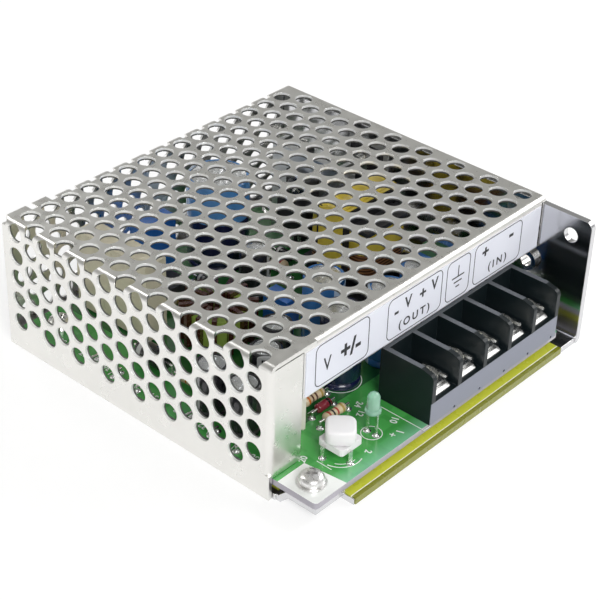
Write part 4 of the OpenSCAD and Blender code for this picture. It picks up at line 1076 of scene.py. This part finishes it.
# %% Capacitor cans
def can_finish(name, centre, radius, top, sleeve, stripe, heading, painted_shade_low=None, painted_shade_top=0.0):
    """Sleeve, stripe and bare top, told apart by place in millimetres; a given dark colour below a
    given height is painted shade.
    """
    made = Finish(name, 0.22)
    made.set(Coat_Weight=0.45, Coat_Roughness=0.1)
    x, y, z = (made.axis(letter) for letter in "XYZ")
    dx, dy = made.math("SUBTRACT", x, centre.x), made.math("SUBTRACT", y, centre.y)
    a = math.radians(heading)
    facing = made.math("ADD", made.math("MULTIPLY", dx, math.cos(a)),
        made.math("MULTIPLY", dy, math.sin(a)))
    band = made.math("GREATER_THAN", facing, radius * 0.86)
    bars = made.math("LESS_THAN", made.math("MODULO", z, 4.0), 1.6)
    narrow = made.math("GREATER_THAN", facing, radius * 0.965)
    colour = made.mottled(sleeve, 0.08, 3.0)
    # Painted shade: below the given height the sleeve takes the given dark colour.
    if painted_shade_low:
        colour = made.mix(made.math("LESS_THAN", z, painted_shade_top), colour, painted_shade_low)
    colour = made.mix(band, colour, stripe)
    colour = made.mix(made.math("MULTIPLY", bars, narrow), colour, tuple(c * 0.35 for c in sleeve))
    reach = made.math("SQRT", made.math("ADD", made.math("MULTIPLY", dx, dx), made.math("MULTIPLY",
        dy, dy)))
    bare = made.math("MULTIPLY", made.math("LESS_THAN", reach, radius - 1.0),
        made.math("GREATER_THAN", z, top - 0.6))
    made.paint(made.mix(bare, colour, (0.78, 0.79, 0.80)))
    made.join(bare, made.shader.inputs["Metallic"])
    made.grain(0.5, 0.004)
    return made.material


def can(name, centre, radius, low_z, high_z, finish, slot, *stands_for):
    """A sleeved can with its crimp groove, rolled rim and cross-scored vent."""
    tall = high_z - low_z
    piece = turned(name, [(radius - 0.5, 0), (radius - 0.1, 0.08), (radius, 0.35), (radius, 1.1),
        (radius - 0.14, 1.35),
                          (radius - 0.42, 1.6), (radius - 0.42, 1.8), (radius - 0.12, 2.1),
                          (radius, 2.4),
                          (radius, tall - 0.6), (radius - 0.12, tall - 0.22),
                          (radius - 0.45, tall),
                          (radius - 0.95, tall - 0.02), (radius - 1.05, tall - 0.28),
                          (radius * 0.3, tall - 0.3)], 44)
    for heading in (0, 90):
        bpy.ops.mesh.primitive_cube_add(size=1)
        groove = bpy.context.object
        groove.scale = (radius * 1.2 * MM, 0.28 * MM, 0.4 * MM)
        bpy.ops.object.transform_apply(scale=True)
        cut(piece, stand(groove, (0, 0, (tall - 0.25) * MM), heading))
    stand(piece, at(centre.x, centre.y, low_z), 20)
    return fit_piece(piece, finish, slot, *stands_for)


SLEEVES = {1: ("navy_sleeve", (0.007, 0.010, 0.045), (0.10, 0.12, 0.22)),
           2: ("blue_sleeve", (0.05, 0.20, 0.52), (0.55, 0.68, 0.85)),
           3: ("blue_sleeve", (0.05, 0.20, 0.52), (0.55, 0.68, 0.85)),
           4: ("blue_sleeve", (0.05, 0.20, 0.52), (0.55, 0.68, 0.85))}
for number, (slot_name, sleeve, stripe) in SLEEVES.items():
    node = "output_capacitor_%d" % number
    low_c, high_c = place_of(node)
    centre, radius = (low_c + high_c) / 2, (high_c.x - low_c.x) / 2
    coat = can_finish("output_sleeve_%d" % number, centre, radius, high_c.z, sleeve, stripe,
        70 * number)
    can("output_can_%d" % number, centre, radius, low_c.z, high_c.z, coat, slot_name, node)
low_c, high_c = place_of("reservoir_capacitor")
centre, radius = (low_c + high_c) / 2, (high_c.x - low_c.x) / 2
# The reservoir's sleeve is painted near black below 19.5 mm as shade.
coat = can_finish("reservoir_sleeve", centre, radius, high_c.z, (0.10, 0.30, 0.66),
    (0.55, 0.66, 0.8), 100,
                  (0.012, 0.016, 0.06), 19.5)
can("reservoir_can", centre, radius, low_c.z, high_c.z, coat, "blue_sleeve", "reservoir_capacitor")
small_low, small_high = place_of("small_capacitors")
for number, (x, y) in enumerate([(9.2, 30.5), (9.5, 40.5), (22, 36), (50.5, 66), (31, 41)], 1):
    centre = Vector((x, y, 0))
    coat = can_finish("small_sleeve_%d" % number, centre, 4.0, small_high.z, (0.02, 0.02, 0.024),
        (0.6, 0.6, 0.62), 75 * number)
    can("small_can_%d" % number, centre, 4.0, small_low.z, small_high.z, coat, "black_sleeve",
        *(["small_capacitors"] if number == 1 else []))
print("cans:", len(SLEEVES) + 6)

# %% [markdown]
# The two halves of the transformer's core are held by a few turns of yellow tape
# round the outside. The band is a box without front and back, with its edges
# rounded and given the thickness of the tape, and a second lap lies over it.

# %% Tape on the transformer
core_low, core_high = place_of("transformer_core")
laps = []
for number, (gap, across) in enumerate(((0.12, 7.6), (0.3, 5.6))):
    fresh()
    bpy.ops.mesh.primitive_cube_add(size=1)
    lap = bpy.context.object
    wide, high = core_high.x - core_low.x + 2 * gap, core_high.z - core_low.z + 2 * gap
    lap.scale = (wide * MM, across * MM, high * MM)
    bpy.ops.object.transform_apply(scale=True)
    choose_parts(lap, edges=lambda a, b: abs(a.y - b.y) > 0.001)
    bpy.ops.mesh.bevel(offset=0.7 * MM, segments=4)
    bpy.ops.object.mode_set(mode="OBJECT")
    choose_parts(lap, faces=lambda centre, normal: abs(normal.y) > 0.9)
    bpy.ops.mesh.delete(type="FACE")
    bpy.ops.object.mode_set(mode="OBJECT")
    wall = lap.modifiers.new("thickness", "SOLIDIFY")
    wall.thickness = 0.12 * MM
    bpy.ops.object.modifier_apply(modifier=wall.name)
    middle_of = (core_low + core_high) / 2
    laps.append(stand(lap, at(middle_of.x, middle_of.y, middle_of.z)))
fit_piece(joined("transformer_tape", laps), tape, "yellow_tape", smooth=40)
print("laps of tape:", len(laps))

# %% [markdown]
# The last cell measures the finished model and prints its size.

# %% Measure
low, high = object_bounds()
print("size in mm:", [round(v / MM, 2) for v in high - low])
